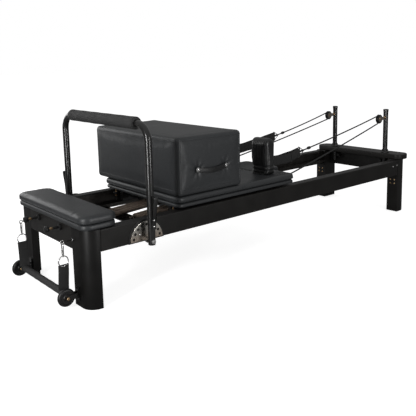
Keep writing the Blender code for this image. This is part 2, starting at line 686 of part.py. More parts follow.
def strap_grid(name, outer, inner, half_width, finish):
    """A flat strap: a ring of four corners carried along its run, closed at both ends."""
    bm = bmesh.new()
    rings = []
    for (x0, y0, z0), (x1, y1, z1) in zip(outer, inner):
        corners = [(x0, y0, z0 - half_width), (x0, y0, z0 + half_width)]
        corners += [(x1, y1, z1 + half_width), (x1, y1, z1 - half_width)]
        rings.append([bm.verts.new((at(x), y, z)) for x, y, z in corners])
    for first, second in zip(rings, rings[1:]):
        for i in range(4):
            bm.faces.new((first[i], first[(i + 1) % 4], second[(i + 1) % 4], second[i]))
    bm.faces.new(rings[0])
    bm.faces.new(rings[-1])
    return mesh_object(name, bm, finish)


clear_scene()
PARTS = new_collection("pilates_reformer")
build_side_rails()
build_end_panel()
build_foot_columns()
build_head_columns()
build_head_beam_and_cap()
build_tracks()
build_spring_bars()
build_platform()
build_quadrants()
build_risers()
build_pulleys()
build_pegs()
build_transport_wheels()
build_footbar()
build_lock_levers()
build_hanging_bar()
build_chassis()
build_carriage_wheels()
build_carriage_deck()
build_shoulder_rests()
build_headrest()
build_springs()
build_ropes_and_loops()
build_sitting_box()
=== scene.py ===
# %% [markdown]
# # A Pilates reformer
# The machine is a low bed: two rails on four posts, and a padded carriage that rolls between
# them against springs. The solids are already made and packed, each in its right place. This
# lesson gives them their looks: round tubes that are really round, padding with seams, coiled
# springs, webbing and rope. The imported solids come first, because every new piece moves with one.
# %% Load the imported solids
import math

import bmesh
import bpy
import numpy as np
from mathutils import Matrix, Vector


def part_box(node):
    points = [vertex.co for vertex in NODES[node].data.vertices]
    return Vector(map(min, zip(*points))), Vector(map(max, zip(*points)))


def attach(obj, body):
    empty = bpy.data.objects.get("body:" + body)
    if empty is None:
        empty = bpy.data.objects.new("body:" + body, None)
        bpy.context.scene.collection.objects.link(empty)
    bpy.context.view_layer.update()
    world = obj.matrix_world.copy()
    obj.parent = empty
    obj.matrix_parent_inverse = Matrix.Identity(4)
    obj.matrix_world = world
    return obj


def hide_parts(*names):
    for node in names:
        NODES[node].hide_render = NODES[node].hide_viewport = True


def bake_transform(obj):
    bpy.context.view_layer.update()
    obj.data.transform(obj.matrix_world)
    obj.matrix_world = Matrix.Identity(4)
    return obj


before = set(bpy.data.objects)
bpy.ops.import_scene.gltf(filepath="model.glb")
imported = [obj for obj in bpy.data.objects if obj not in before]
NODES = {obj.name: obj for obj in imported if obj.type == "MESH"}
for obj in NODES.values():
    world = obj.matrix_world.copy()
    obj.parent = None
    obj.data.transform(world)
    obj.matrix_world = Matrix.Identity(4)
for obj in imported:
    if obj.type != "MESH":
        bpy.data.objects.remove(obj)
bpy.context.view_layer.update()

SIDES = {"near": -1, "far": 1}

# %% [markdown]
# ## Places
# Lengths along the machine are easiest to think of from the foot end's panel, as a fitter would
# measure them with a tape. One function turns such a length into X of the machine's own frame,
# whose origin is halfway along.
# %% The tape measure
FOOT_FACE_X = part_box("end_panel")[0][0]
HALF_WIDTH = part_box("side_rail_far")[1][1]
RAIL_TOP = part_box("side_rail_far")[1][2]
COLUMN_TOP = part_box("end_panel")[1][2]
FOOTBAR_X, PIVOT_Z = 0.298, 0.257
FULL_TURN = 2 * math.pi


def at(x):
    """X in the machine's frame of a length taken from the foot end's panel."""
    return FOOT_FACE_X + x


print(f"the panel's face is at X = {FOOT_FACE_X:.4f} m, the rails are {2 * HALF_WIDTH:.3f} m apart outside")

# %% [markdown]
# ## Formulas as shaders
# A finish is a formula over the surface, and Blender stores formulas as nodes. Wiring nodes by
# hand hides the formula, so a small class wraps a node's output and lets Python's own operators
# add the Math nodes. Another class holds one material and makes every other kind of node.
# %% Sockets that do sums


class Link:
    """A node's output. Sums with it, such as 1 - mask * 0.5, add Math nodes."""

    def __init__(self, finish, socket):
        self.finish = finish
        self.socket = socket

    def math(self, operation, *values):
        return self.finish.node("ShaderNodeMath", {"operation": operation}, values)

    def __add__(self, other):
        return self.math("ADD", self, other)

    def __radd__(self, other):
        return self.math("ADD", other, self)

    def __sub__(self, other):
        return self.math("SUBTRACT", self, other)

    def __rsub__(self, other):
        return self.math("SUBTRACT", other, self)

    def __mul__(self, other):
        return self.math("MULTIPLY", self, other)

    def __rmul__(self, other):
        return self.math("MULTIPLY", other, self)

    def __truediv__(self, other):
        return self.math("DIVIDE", self, other)

    def sine(self):
        return self.math("SINE", self)

    def size(self):
        return self.math("ABSOLUTE", self)

    def step(self, low, high):
        """0 below low, 1 above high, and a smooth ramp between them."""
        settings = {"interpolation_type": "SMOOTHSTEP"}
        return self.finish.node("ShaderNodeMapRange", settings, (self, low, high))


# %% [markdown]
# ## One finish
# Every finish starts from the same Principled shader. The class below holds that shader, makes
# the other nodes, and sets several sockets in one call, from a number, a colour or a formula.
# %% One material


class Finish:
    """A material around one Principled shader, and the way to add nodes to it."""

    def __init__(self, name):
        self.material = bpy.data.materials.new(name)
        self.material.use_nodes = True
        self.tree = self.material.node_tree
        self.shader = self.tree.nodes["Principled BSDF"]

    def node(self, kind, settings=None, values=(), output=0):
        """Adds a node: its settings first, then its sockets' values or links, by name or number."""
        node = self.tree.nodes.new(kind)
        for key, value in (settings or {}).items():
            setattr(node, key, value)
        for key, value in values.items() if isinstance(values, dict) else enumerate(values):
            self.feed(node.inputs[key], value)
        return Link(self, node.outputs[output])

    def feed(self, socket, value):
        if isinstance(value, Link):
            self.tree.links.new(value.socket, socket)
        else:
            socket.default_value = value

    def set(self, **values):
        for name, value in values.items():
            self.feed(self.shader.inputs[name.replace("_", " ")], value)

    def place(self, stretch=(1, 1, 1)):
        """The point in the machine's frame, with each axis stretched."""
        point = self.node("ShaderNodeTexCoord", output=3)
        return self.node("ShaderNodeMapping", {}, {"Vector": point, "Scale": stretch})

    def axes(self, vector):
        """The three numbers of a vector."""
        node = self.tree.nodes.new("ShaderNodeSeparateXYZ")
        self.feed(node.inputs[0], vector)
        return [Link(self, output) for output in node.outputs]

    def noise(self, vector, scale, detail=2.0):
        return self.node("ShaderNodeTexNoise", {}, {"Vector": vector, "Scale": scale, "Detail": detail})

    def cells(self, vector, scale):
        settings = {"feature": "DISTANCE_TO_EDGE"}
        return self.node("ShaderNodeTexVoronoi", settings, {"Vector": vector, "Scale": scale})

    def blend(self, factor, first, second):
        """A colour between two colours."""
        values = {0: factor, 6: first, 7: second}
        return self.node("ShaderNodeMix", {"data_type": "RGBA"}, values, output=2)

    def relief(self, height, distance, strength=1.0):
        """Bump of that many metres, fed to the shader's normal."""
        values = {"Height": height, "Distance": distance, "Strength": strength}
        self.set(Normal=self.node("ShaderNodeBump", {}, values))


def grey(value, warm=0.0):
    """A linear colour of that lightness; warm above 0 leans to brown, below 0 to blue."""
    return (value * (1 + warm), value, value * (1 - warm), 1)


print("links and finishes are ready")

# %% [markdown]
# ## Painted metal
# The rails, posts, beam and cap are aluminium under a fine charcoal powder coat. Powder melts
# into a skin with a very small orange peel, so the finish is satin and never quite even. Clouds
# some centimetres wide vary its colour and gloss, and the peel is relief of a few hundredths of
# a millimetre. The rails' top edges are painted lighter in streaks: a painted highlight.
# %% Powder coat and tube paint


def painted(name, dark, light, roughness, warm=0.0, peel=900.0, depth=0.00005, shine=0.4):
    """Colour and gloss follow wide clouds; relief follows a fine orange peel."""
    finish = Finish(name)
    point = finish.place()
    clouds = finish.noise(point, 9.0, 4.0)
    specks = finish.noise(point, 260.0, 2.0)
    shade = (clouds * 0.7 + specks * 0.3).step(0.3, 0.7)
    finish.set(Base_Color=finish.blend(shade, grey(dark, warm), grey(light, warm)))
    uneven = 1.0 + (clouds - 0.5) * 0.5 + (specks - 0.5) * 0.2
    finish.set(Roughness=uneven * roughness, Specular_IOR_Level=shine)
    finish.relief(finish.noise(point, peel, 1.0), depth)
    return finish


COAT = painted("charcoal_powder_coat", 0.0066, 0.0106, 0.42, 0.08, shine=0.26)
_, _, height = COAT.axes(COAT.place())
streaks = COAT.noise(COAT.place((1, 30, 30)), 7.0, 5.0).step(0.4, 0.7)
# Painted highlight: the rails' top faces and top edges are painted lighter, in streaks.
lit_top_edge = height.step(RAIL_TOP - 0.003, RAIL_TOP + 0.002) * streaks
coat_colour = Link(COAT, COAT.shader.inputs["Base Color"].links[0].from_socket)
COAT.set(Base_Color=COAT.blend(lit_top_edge * 0.5, coat_colour, grey(0.030, 0.05)))
TUBE_PAINT = painted("black_tube_paint", 0.006, 0.009, 0.25, 0.02, 1400.0, 0.00002, shine=0.5)
TUBE_PAINT.set(Coat_Weight=0.35)
# Painted shade: the foot posts get a darker copy of the powder coat, for the shadow they stand in.
SHADED_POST_COAT = painted("shaded_black_post_coat", 0.0042, 0.0068, 0.42, 0.05, shine=0.20)
HARD_PLASTIC = painted("black_moulded_plastic", 0.006, 0.010, 0.36, 0.0, 2500.0, 0.00002)
TYRE = painted("black_wheel_tyre", 0.005, 0.009, 0.42, 0.0, 1800.0, 0.00003)
print("painted finishes:", COAT.material.name, TUBE_PAINT.material.name, HARD_PLASTIC.material.name)

# %% [markdown]
# ## Bare metal
# Zinc plate is drawn in one direction, so its noise is stretched a hundred times along that
# direction. The lock plates turn bronze towards the bottom, which is a blend on height.
# %% Plated, drawn and turned metal


def drawn_metal(name, dark, light, roughness, stretch):
    """Colour, gloss and relief all follow one noise that is long in the drawing direction."""
    finish = Finish(name)
    streaks = finish.noise(finish.place(stretch), 1.0, 5.0)
    spots = finish.noise(finish.place(), 45.0, 3.0)
    finish.set(Base_Color=finish.blend((streaks * 0.6 + spots * 0.4).step(0.3, 0.7), dark, light))
    finish.set(Roughness=roughness + (streaks - 0.5) * 0.25 + (spots - 0.5) * 0.15, Metallic=1.0)
    finish.relief(streaks, 0.00003)
    return finish


FINE = 1500.0
STEEL = drawn_metal("bright_steel", grey(0.42, 0.01), grey(0.62, 0.01), 0.26, (40, FINE, FINE))
BRASS = drawn_metal("turned_brass", (0.38, 0.25, 0.13, 1), (0.60, 0.42, 0.25, 1), 0.30, (FINE, 40, FINE))
SPRING_WIRE = drawn_metal("spring_wire", (0.115, 0.090, 0.072, 1), (0.25, 0.20, 0.162, 1), 0.52,
                          (200, 200, 200))
NICKEL = drawn_metal("dark_nickel", grey(0.26, 0.10), grey(0.42, 0.10), 0.34, (200, 200, 200))
TRACK = drawn_metal("dark_anodised_track", grey(0.055, 0.06), grey(0.10, 0.06), 0.38, (6, FINE, FINE))
ZINC = drawn_metal("zinc_plate", (0.56, 0.53, 0.48, 1), (0.78, 0.76, 0.71, 1), 0.24, (FINE, 1, 60))
_, _, height = ZINC.axes(ZINC.place())
tint = 1 - height.step(PIVOT_Z, PIVOT_Z + 0.055)
plain = Link(ZINC, ZINC.shader.inputs["Base Color"].links[0].from_socket)
ZINC.set(Base_Color=ZINC.blend(tint * 0.55, plain, (0.52, 0.36, 0.24, 1)))
print("metals:", ", ".join(f.material.name for f in (STEEL, BRASS, SPRING_WIRE, TRACK, ZINC)))

# %% [markdown]
# ## Upholstery vinyl
# Vinyl cloth is pressed with a leather grain: small closed cells with sunk borders. Distance to
# the cell border of a Voronoi pattern is exactly that. Two sizes of cell together hide the
# pattern's evenness. Wide soft noise stands for the foam below, which is never quite flat.
# %% Vinyl, foam and thread
VINYL = Finish("charcoal_vinyl")
point = VINYL.place()
grain = VINYL.cells(point, 620.0).step(0.0, 0.18) * 0.7 + VINYL.cells(point, 1100.0).step(0.0, 0.2) * 0.3
foam = VINYL.noise(point, 14.0, 3.0)
worn = VINYL.noise(point, 5.0, 4.0)
VINYL.set(Base_Color=VINYL.blend(grain * 0.55 + worn * 0.45, grey(0.019, -0.06), grey(0.033, -0.07)))
VINYL.set(Roughness=0.46 - grain * 0.08 + (worn - 0.5) * 0.16, Specular_IOR_Level=0.45)
VINYL.relief(grain * 0.05 + foam, 0.0012, 0.5)

FOAM_GRIP = Finish("closed_cell_foam")
point = FOAM_GRIP.place()
pores = FOAM_GRIP.cells(point, 900.0).step(0.0, 0.25)
cloud = FOAM_GRIP.noise(point, 30.0, 3.0)
FOAM_GRIP.set(Base_Color=FOAM_GRIP.blend(pores * 0.6 + cloud * 0.4, grey(0.018, 0.0), grey(0.032, 0.0)))
FOAM_GRIP.set(Roughness=0.72 + (cloud - 0.5) * 0.2)
FOAM_GRIP.relief(pores, 0.0003, 0.6)

# Darker than the pads' vinyl. This is the own black of the handle straps, and painted shade on the shoulder
# rests.
STRAP_AND_SHADED_REST_VINYL = painted("black_strap_and_shaded_rest_vinyl", 0.008, 0.014, 0.34, -0.02, 1500.0, 0.00006, shine=0.5)
THREAD = painted("black_thread", 0.03, 0.06, 0.7, 0.0, 4000.0, 0.00004)
print("soft finishes:", VINYL.material.name, FOAM_GRIP.material.name)

# %% [markdown]
# ## Webbing and rope
# A weave follows its own strap, not the room, so it reads the piece's UV map, which the meshes
# below store in metres: U along the strap and V across it. Crossed sines make the humps of the
# threads. A braid is the same with both waves turned, so the threads cross on the slant.
# %% Woven and braided cloth


def woven(name, pitch_along, pitch_across, slant, dark, light):
    """Height = |sin(a)| * |sin(b)|, with a and b along and across, or both slanted for a braid."""
    finish = Finish(name)
    cloth = finish.node("ShaderNodeUVMap", {"uv_map": "cloth"})
    along, across, _ = finish.axes(cloth)
    first = (along + across * slant) * (math.pi / pitch_along)
    second = (across - along * slant) * (math.pi / pitch_across)
    humps = first.sine().size() * second.sine().size()
    fuzz = finish.noise(finish.place(), 700.0, 3.0)
    finish.set(Base_Color=finish.blend(humps * 0.7 + fuzz * 0.3, grey(dark), grey(light)))
    finish.set(Roughness=0.78 + (fuzz - 0.5) * 0.2)
    finish.relief(humps * 0.8 + fuzz * 0.2, 0.0004, 0.8)
    return finish


WEBBING = woven("black_webbing", 0.0016, 0.0022, 0.0, 0.006, 0.022)
BRAID = woven("black_braided_rope", 0.0022, 0.0022, 1.0, 0.006, 0.024)
print("cloths:", WEBBING.material.name, BRAID.material.name)

# %% [markdown]
# ## Surfaces from formulas
# Every new piece is a grid of points worked out with numpy, row by row. A profile can turn about
# an axis, which gives wheels, knobs and posts. It can be carried along a path, which gives tubes,
# ropes and straps. Or an outline can rise from a low face to a high one and round over at both,
# which gives posts and pads. Each of these is one short function that returns rows of points.
# %% Three kinds of surface


def arc(center, radius, start, end, steps):
    """Points at center + radius·(cos, sin), from start to end degrees."""
    turn = np.radians(np.linspace(start, end, steps))
    return np.stack([center[0] + radius * np.cos(turn), center[1] + radius * np.sin(turn)], axis=-1)


def unit(vectors):
    return vectors / np.maximum(np.linalg.norm(vectors, axis=-1, keepdims=True), 1e-12)


def turned(profile, center, axis, steps=48):
    """P(i, t) = center + axis·h_i + r_i·(cos t·e1 + sin t·e2), for profile rows (r, h)."""
    profile = np.array(profile, float)
    axis = unit(np.array(axis, float))
    e1 = unit(np.cross(axis, (0.0, 0.0, 1.0) if abs(axis[2]) < 0.9 else (1.0, 0.0, 0.0)))
    e2 = np.cross(axis, e1)
    turn = np.linspace(0, FULL_TURN, steps + 1)[:, None]
    around = np.cos(turn) * e1 + np.sin(turn) * e2
    rise = profile[:, 1, None] * axis
    return np.array(center, float) + rise[:, None] + profile[:, 0, None, None] * around[None]


def swept(profile, path, across):
    """P(i, j) = path_i + a_j·side_i + b_j·up_i.

    Side is across made square to the path, and up = direction x side."""
    path, across = np.array(path, float), np.array(across, float)
    direction = unit(np.gradient(path, axis=0))
    side = unit(across - np.sum(across * direction, axis=-1, keepdims=True) * direction)
    up = np.cross(direction, side)
    profile = np.array(profile, float)
    return path[:, None] + profile[:, 0, None] * side[:, None] + profile[:, 1, None] * up[:, None]


def raised(outline, low, high, edge, plane="XY", steps=5):
    """Rings of the outline pulled in by edge·(1 - cos a) as they near each face by edge·sin a.
    The pull follows the mitre (n1 + n2) / (1 + n1·n2) of the two sides that meet at a point."""
    outline = np.array(outline, float)
    along = unit(np.roll(outline, -1, axis=0) - outline)
    normal = np.stack([along[:, 1], -along[:, 0]], axis=-1)
    before = np.roll(normal, 1, axis=0)
    mitre = (normal + before) / (1 + np.sum(normal * before, axis=-1, keepdims=True))
    area = np.sum(outline[:, 0] * np.roll(outline[:, 1], -1) - outline[:, 1] * np.roll(outline[:, 0], -1))
    mitre = mitre * np.sign(area)
    turn = np.linspace(0, math.pi / 2, steps)
    pull = np.append(edge * (1 - np.cos(turn)), edge * 1.6)
    rise = np.append(edge * np.sin(turn), edge)
    pull = np.concatenate([pull[::-1], pull])
    level = np.concatenate([(low + edge - rise)[::-1], high - edge + rise])
    flat = outline[None] - pull[:, None, None] * mitre[None]
    flat = np.concatenate([flat, flat[:, :1]], axis=1)
    level = np.broadcast_to(level[:, None], flat.shape[:2])
    order = {"XY": (flat[..., 0], flat[..., 1], level), "XZ": (flat[..., 0], level, flat[..., 1])}
    order["YZ"] = (level, flat[..., 0], flat[..., 1])
    return np.stack(order[plane], axis=-1)


def rounded_rectangle(low, high, radius, steps=12):
    """Four quarter arcs, one after the other, counter-clockwise."""
    corners = ((high[0], high[1], 0), (low[0], high[1], 90), (low[0], low[1], 180), (high[0], low[1], 270))
    signs = ((-1, -1), (1, -1), (1, 1), (-1, 1))
    return np.concatenate([
        arc((x + sx * radius, y + sy * radius), radius, start, start + 90, steps)
        for (x, y, start), (sx, sy) in zip(corners, signs)
    ])


print("surfaces: turned, swept, raised")

# %% [markdown]
# ## From rows of points to a piece
# The rows become quads between neighbours. Ends are closed with a flat face where asked, doubled
# points are merged and the faces turned outwards. The UV map, in metres, holds the length along
# the rows and the length across them, measured on the surface itself. Then the piece gets its
# finish, is hung on the body it moves with, and the solids it stands for are hidden.
# %% Make a piece


def grid_quads(rows, columns):
    """Corner numbers of the quads between neighbouring rows and columns."""
    row, column = np.meshgrid(np.arange(rows - 1), np.arange(columns - 1), indexing="ij")
    first = (row * columns + column).reshape(-1)
    return np.stack([first, first + 1, first + columns + 1, first + columns], axis=-1)


def lengths(points, axis):
    """Running length along one axis of the grid, as the mean over the other."""
    steps = np.linalg.norm(np.diff(points, axis=axis), axis=-1).mean(axis=1 - axis)
    return np.concatenate([[0.0], np.cumsum(steps)])


def smooth_mesh(mesh, angle=35):
    mesh.shade_smooth()
    mesh.set_sharp_from_angle(angle=math.radians(angle))


def settle(mesh, merge=1e-6):
    """Merges doubled points and turns every face outwards."""
    bm = bmesh.new()
    bm.from_mesh(mesh)
    bmesh.ops.remove_doubles(bm, verts=bm.verts, dist=merge)
    bmesh.ops.dissolve_degenerate(bm, edges=bm.edges, dist=merge)
    bmesh.ops.recalc_face_normals(bm, faces=bm.faces)
    bm.to_mesh(mesh)
    bm.free()


def dress(obj, finish, body, stands_for=()):
    """Gives the piece its finish and its body, and hides the solids it stands for."""
    obj.data.materials.clear()
    obj.data.materials.append(finish.material)
    if body:
        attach(obj, body)
    if stands_for:
        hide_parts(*stands_for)
    return obj


def grid_object(name, parts, capped=True, angle=35):
    """One mesh of one or more grids of points, each rows x columns x 3."""
    points, quads, ends, uv, first = [], [], [], [], 0
    for part in parts:
        rows, columns = part.shape[:2]
        points.append(part.reshape(-1, 3))
        quads.append(grid_quads(rows, columns) + first)
        along, across = np.meshgrid(lengths(part, 0), lengths(part, 1), indexing="ij")
        uv.append(np.stack([along, across], axis=-1).reshape(-1, 2))
        if capped:
            last = first + (rows - 1) * columns
            ends += [list(range(first, first + columns - 1)), list(range(last, last + columns - 1))]
        first += rows * columns
    mesh = bpy.data.meshes.new(name)
    mesh.from_pydata(np.concatenate(points), [], np.concatenate(quads).tolist() + ends)
    corner = np.empty(len(mesh.loops), np.int32)
    mesh.loops.foreach_get("vertex_index", corner)
    layer = mesh.uv_layers.new(name="cloth")
    layer.data.foreach_set("uv", np.concatenate(uv)[corner].astype(np.float32).ravel())
    settle(mesh)
    smooth_mesh(mesh, angle)
    obj = bpy.data.objects.new(name, mesh)
    bpy.context.scene.collection.objects.link(obj)
    return obj


def make(name, parts, finish, body, stands_for=(), capped=True, angle=35):
    """A finished piece from one grid, or a list of them."""
    parts = parts if isinstance(parts, list) else [parts]
    return dress(grid_object(name, parts, capped, angle), finish, body, stands_for)


def both(build):
    """Runs build(word, side) for the near side and the far side."""
    for word, side in SIDES.items():
        build(word, side)


def circle(radius, steps=24):
    return arc((0, 0), radius, 0, 360, steps + 1)


def bolt_head(center, axis, radius=0.0055, height=0.0035, sink=0.0015):
    """A domed head: r runs out from 0 to the rim as the height falls by a quarter round."""
    turn = np.linspace(0, math.pi / 2, 6)
    dome = np.stack([radius * np.sin(turn), height * np.cos(turn)], axis=-1)
    return turned(np.concatenate([dome, [[radius, -sink], [0, -sink]]]), center, axis, 16)


print("helpers: grid_object, make, both, bolt_head")

# %% [markdown]
# ## Posts, panel and cap
# Each foot post is one extrusion whose outer corner is a quarter round of 60 mm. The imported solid
# has that corner in eight flats, so a smooth copy of the same outline takes its place, with many
# more steps in the arc and a small round on its edges. The head posts and the cap are made alike.
# The rails, panel and beam are square bars, so their solids stay and only change finish.
# %% Posts and cap
FOOT_CORNER, FLANGE, RAIL_THICKNESS, PANEL_HALF = 0.060, 0.032, 0.056, 0.215
RAIL_END, HEAD_FACE, BEAM_HALF = 2.305, 2.420, 0.262
POST_EDGE, CAP_EDGE = 0.0015, 0.005


def moved(outline):
    """Outline points whose X is a length from the foot end."""
    return np.array(outline, float) + (FOOT_FACE_X, 0)


def foot_post(word, side):
    inner = HALF_WIDTH - RAIL_THICKNESS
    corner = arc((FOOT_CORNER, HALF_WIDTH - FOOT_CORNER), FOOT_CORNER, 180, 90, 28)
    outline = np.concatenate([
        [(0.0, PANEL_HALF)], corner, [(0.068, HALF_WIDTH), (0.068, inner)],
        [(FLANGE + 0.012, inner - 0.012), (FLANGE, inner - 0.030), (FLANGE, PANEL_HALF)],
    ])
    shape = raised(moved(outline * (1, side)), 0.0, COLUMN_TOP, POST_EDGE, steps=4)
    # The foot posts take the darker coat, which is painted shade.
    make(f"foot_post_{word}", shape, SHADED_POST_COAT, "frame", [f"foot_column_{word}"])


def head_post(word, side):
    corner = HALF_WIDTH - BEAM_HALF - 0.0003
    rounded = arc((HEAD_FACE - corner, HALF_WIDTH - corner), corner, 90, 0, 28)
    outline = np.concatenate([[(RAIL_END, BEAM_HALF), (RAIL_END, HALF_WIDTH)], rounded,
                              [(HEAD_FACE, BEAM_HALF)]])
    shape = raised(moved(outline * (1, side)), 0.0, COLUMN_TOP, POST_EDGE, steps=4)
    make(f"head_post_{word}", shape, COAT, "frame", [f"head_column_{word}"])


both(foot_post)
both(head_post)
cap_outline = moved(rounded_rectangle((2.310, -0.350), (2.430, 0.350), 0.050, 16))
make("cap", raised(cap_outline, COLUMN_TOP + 0.0003, 0.384, CAP_EDGE), COAT, "frame",
     ["head_cap"])
print("4 posts and a cap")

# %% [markdown]
# ## Solids that stay
# Folded plate and square bearers already have their true shape, so these solids are kept and
# only get a finish.
# %% Finishes on the solids that stay
KEPT = {
    COAT: ["side_rail_near", "side_rail_far", "end_panel", "head_beam"],
    TRACK: ["track_near", "track_far"],
    TUBE_PAINT: ["spring_bar", "second_spring_bar", "carriage_chassis", "wheel_bracket_near",
                 "wheel_bracket_far"],
    NICKEL: ["pulley_block_near", "pulley_block_far"],
}
for finish, names in KEPT.items():
    for name in names:
        NODES[name].data.materials.clear()
        NODES[name].data.materials.append(finish.material)
print(sum(len(names) for names in KEPT.values()), "solids keep their shape")

# %% [markdown]
# ## Bolts
# The rails are bolted to the head posts through their outer faces, and brass screws show on the
# posts' inner faces. A bolt head is a quarter round turned about its axis. All the heads of one
# kind are one piece, because they never move apart.
# %% Bolt heads
RAIL_BOLTS = ((2.250, 0.313), (2.297, 0.317))
POST_SCREWS = ((0.286, 0.215), (0.316, 0.215), (0.286, 0.190), (0.316, 0.190))
rail_heads = [
    bolt_head((at(x), side * HALF_WIDTH, z), (0, side, 0)) for side in SIDES.values() for x, z in RAIL_BOLTS
]
post_heads = [
    bolt_head((at(RAIL_END), side * y, z), (-1, 0, 0)) for side in SIDES.values() for y, z in POST_SCREWS
]
make("rail_bolts", rail_heads, STEEL, "frame", capped=False)
make("post_screws", post_heads, BRASS, "frame", capped=False)
print(len(rail_heads) + len(post_heads), "bolt heads")

# %% [markdown]
# ## Footbar
# The footbar is one steel tube bent into a U. Its path is straight, a quarter circle of 80 mm,
# straight across, and down again. Carrying a circle along that path gives a tube that is round
# and even in the bends, which a row of short cylinders would not be. A foam sleeve covers the top.
# %% The bent tube and its sleeve
TUBE_RADIUS, TUBE_Y, TUBE_TOP, TUBE_BEND = 0.0165, 0.385, 0.774, 0.080
ROLL_RADIUS, ROLL_HALF = 0.029, 0.300
corner = arc((TUBE_Y - TUBE_BEND, TUBE_TOP - TUBE_BEND), TUBE_BEND, 0, 90, 24)
leg = np.stack([np.full(12, TUBE_Y), np.linspace(0.244, TUBE_TOP - TUBE_BEND - 0.01, 12)], axis=-1)
half = np.concatenate([leg, corner])
flat = np.concatenate([half * (-1, 1), half[::-1]])
bar_path = np.stack([np.full(len(flat), at(FOOTBAR_X)), flat[:, 0], flat[:, 1]], axis=-1)
make("footbar_tube", swept(circle(TUBE_RADIUS, 36), bar_path, (1, 0, 0)), TUBE_PAINT, "footbar",
     ["footbar"])

wave = np.linspace(0, 1, 61)
ripple = ROLL_RADIUS - 0.0006 + 0.0004 * np.cos(wave * FULL_TURN * 5)
body_rows = np.stack([ripple, (1 - 2 * wave) * (ROLL_HALF - 0.006)], axis=-1)
bore = TUBE_RADIUS + 0.0006
head = [(bore, ROLL_HALF), (ROLL_RADIUS - 0.005, ROLL_HALF), (ROLL_RADIUS - 0.0015, ROLL_HALF - 0.002)]
tail = [(r, -h) for r, h in head[::-1]]
roll = turned(np.concatenate([head, body_rows, tail, head[:1]]), (at(FOOTBAR_X), 0, TUBE_TOP),
              (0, 1, 0), 56)
make("footbar_sleeve", roll, FOAM_GRIP, "footbar", ["footbar_roll"], capped=False)


def footbar_fittings(word, side):
    """Pivot bolt through the foot of the leg, and a plug under it."""
    outer = side * (TUBE_Y + TUBE_RADIUS)
    bolt = bolt_head((at(FOOTBAR_X), outer - side * 0.001, PIVOT_Z), (0, side, 0), 0.011, 0.006)
    nut = turned([(0.0, 0.004), (0.007, 0.004), (0.008, 0.003), (0.008, -0.002), (0, -0.002)],
                 (at(FOOTBAR_X), outer + side * 0.002, PIVOT_Z), (0, side, 0), 6)
    make(f"pivot_bolt_{word}", [bolt, nut], STEEL, "footbar", capped=False, angle=25)
    rows = [(0, 0.0), (TUBE_RADIUS - 0.001, 0.0), (TUBE_RADIUS - 0.001, 0.003), (0.0, 0.003)]
    cap = turned(rows, (at(FOOTBAR_X), side * TUBE_Y, 0.2415), (0, 0, 1), 32)
    make(f"tube_plug_{word}", cap, HARD_PLASTIC, "footbar", capped=False)


both(footbar_fittings)
print("footbar: a tube of", len(bar_path), "rings, a sleeve, two pivot bolts")

# %% [markdown]
# ## Lock plates and levers
# A half-round zinc plate on each rail has a row of holes, and a pin in the footbar's leg drops
# into one of them. The holes are cut with Booleans, because a grid has no neat way round a hole.
# Behind each plate sits a slightly larger black one, which is why the holes look black.
# %% Lock plates
PLATE_RADIUS, HOLE_RADIUS, HOLE_ROW = 0.085, 0.0068, 0.070


def applied(obj):
    """Swaps the mesh for what its modifiers make of it."""
    graph = bpy.context.evaluated_depsgraph_get()
    mesh = bpy.data.meshes.new_from_object(obj.evaluated_get(graph))
    obj.modifiers.clear()
    obj.data = mesh
    return obj


def lock_plate(word, side):
    inner, outer = sorted((side * (HALF_WIDTH + 0.0026), side * (HALF_WIDTH + 0.008)))
    outline = arc((FOOTBAR_X, PIVOT_Z), PLATE_RADIUS, 0, 180, 60)
    plate = grid_object(f"lock_plate_{word}", [raised(moved(outline), inner, outer, 0.0008, "XZ", 3)])
    turns = np.radians(np.arange(10, 180, 20))
    drills = [
        turned([(0, -0.02), (HOLE_RADIUS, -0.02), (HOLE_RADIUS, 0.02), (0, 0.02)],
               (at(FOOTBAR_X) + HOLE_ROW * math.cos(t), side * HALF_WIDTH,
                PIVOT_Z + HOLE_ROW * math.sin(t)),
               (0, 1, 0), 24)
        for t in turns
    ]
    drill = grid_object("drill", drills, capped=False)
    cut = plate.modifiers.new("holes", "BOOLEAN")
    cut.operation = "DIFFERENCE"
    cut.object = drill
    applied(plate)
    bpy.data.objects.remove(drill)
    smooth_mesh(plate.data, 30)
    dress(plate, ZINC, "frame", [f"quadrant_{word}"])
    low, high = sorted((side * (HALF_WIDTH + 0.0002), side * (HALF_WIDTH + 0.0025)))
    backing = arc((FOOTBAR_X, PIVOT_Z), PLATE_RADIUS + 0.009, -4, 184, 60)
    make(f"plate_backing_{word}", raised(moved(backing), low, high, 0.0006, "XZ", 3), HARD_PLASTIC,
         "frame")
    hub = turned([(0, 0.0), (0.013, 0.0), (0.013, 0.019), (0.0, 0.019)],
                 (at(FOOTBAR_X), side * (HALF_WIDTH + 0.008), PIVOT_Z), (0, side, 0), 36)
    screws = [bolt_head((at(FOOTBAR_X + dx), side * (HALF_WIDTH + 0.008), PIVOT_Z + 0.03), (0, side, 0),
                        0.004, 0.002)
              for dx in (-0.036, 0.036)]
    make(f"plate_hub_{word}", [hub, *screws], STEEL, "frame", capped=False)


both(lock_plate)


def lock_lever(word, side):
    inner = TUBE_Y + TUBE_RADIUS + 0.0003
    spine = [(inner, 0.316), (inner + 0.007, 0.316), (inner + 0.007, 0.368), (inner + 0.030, 0.452)]
    spine += [(inner + 0.028, 0.462), (inner + 0.018, 0.462), (inner, 0.380)]
    outline = np.array(spine) * (side, 1)
    low, high = at(FOOTBAR_X - 0.011), at(FOOTBAR_X + 0.011)
    make(f"lever_{word}", raised(outline, low, high, 0.0022, "YZ"), HARD_PLASTIC, f"lock_lever_{word}",
         [f"lock_lever_{word}"])
    heads = [bolt_head((at(FOOTBAR_X), side * (inner + 0.007), z), (0, side, 0), 0.005,
                       0.0025) for z in (0.328, 0.356)]
    make(f"lever_bolts_{word}", heads, STEEL, f"lock_lever_{word}", capped=False)


both(lock_lever)
print("two lock plates of 9 holes, two levers")

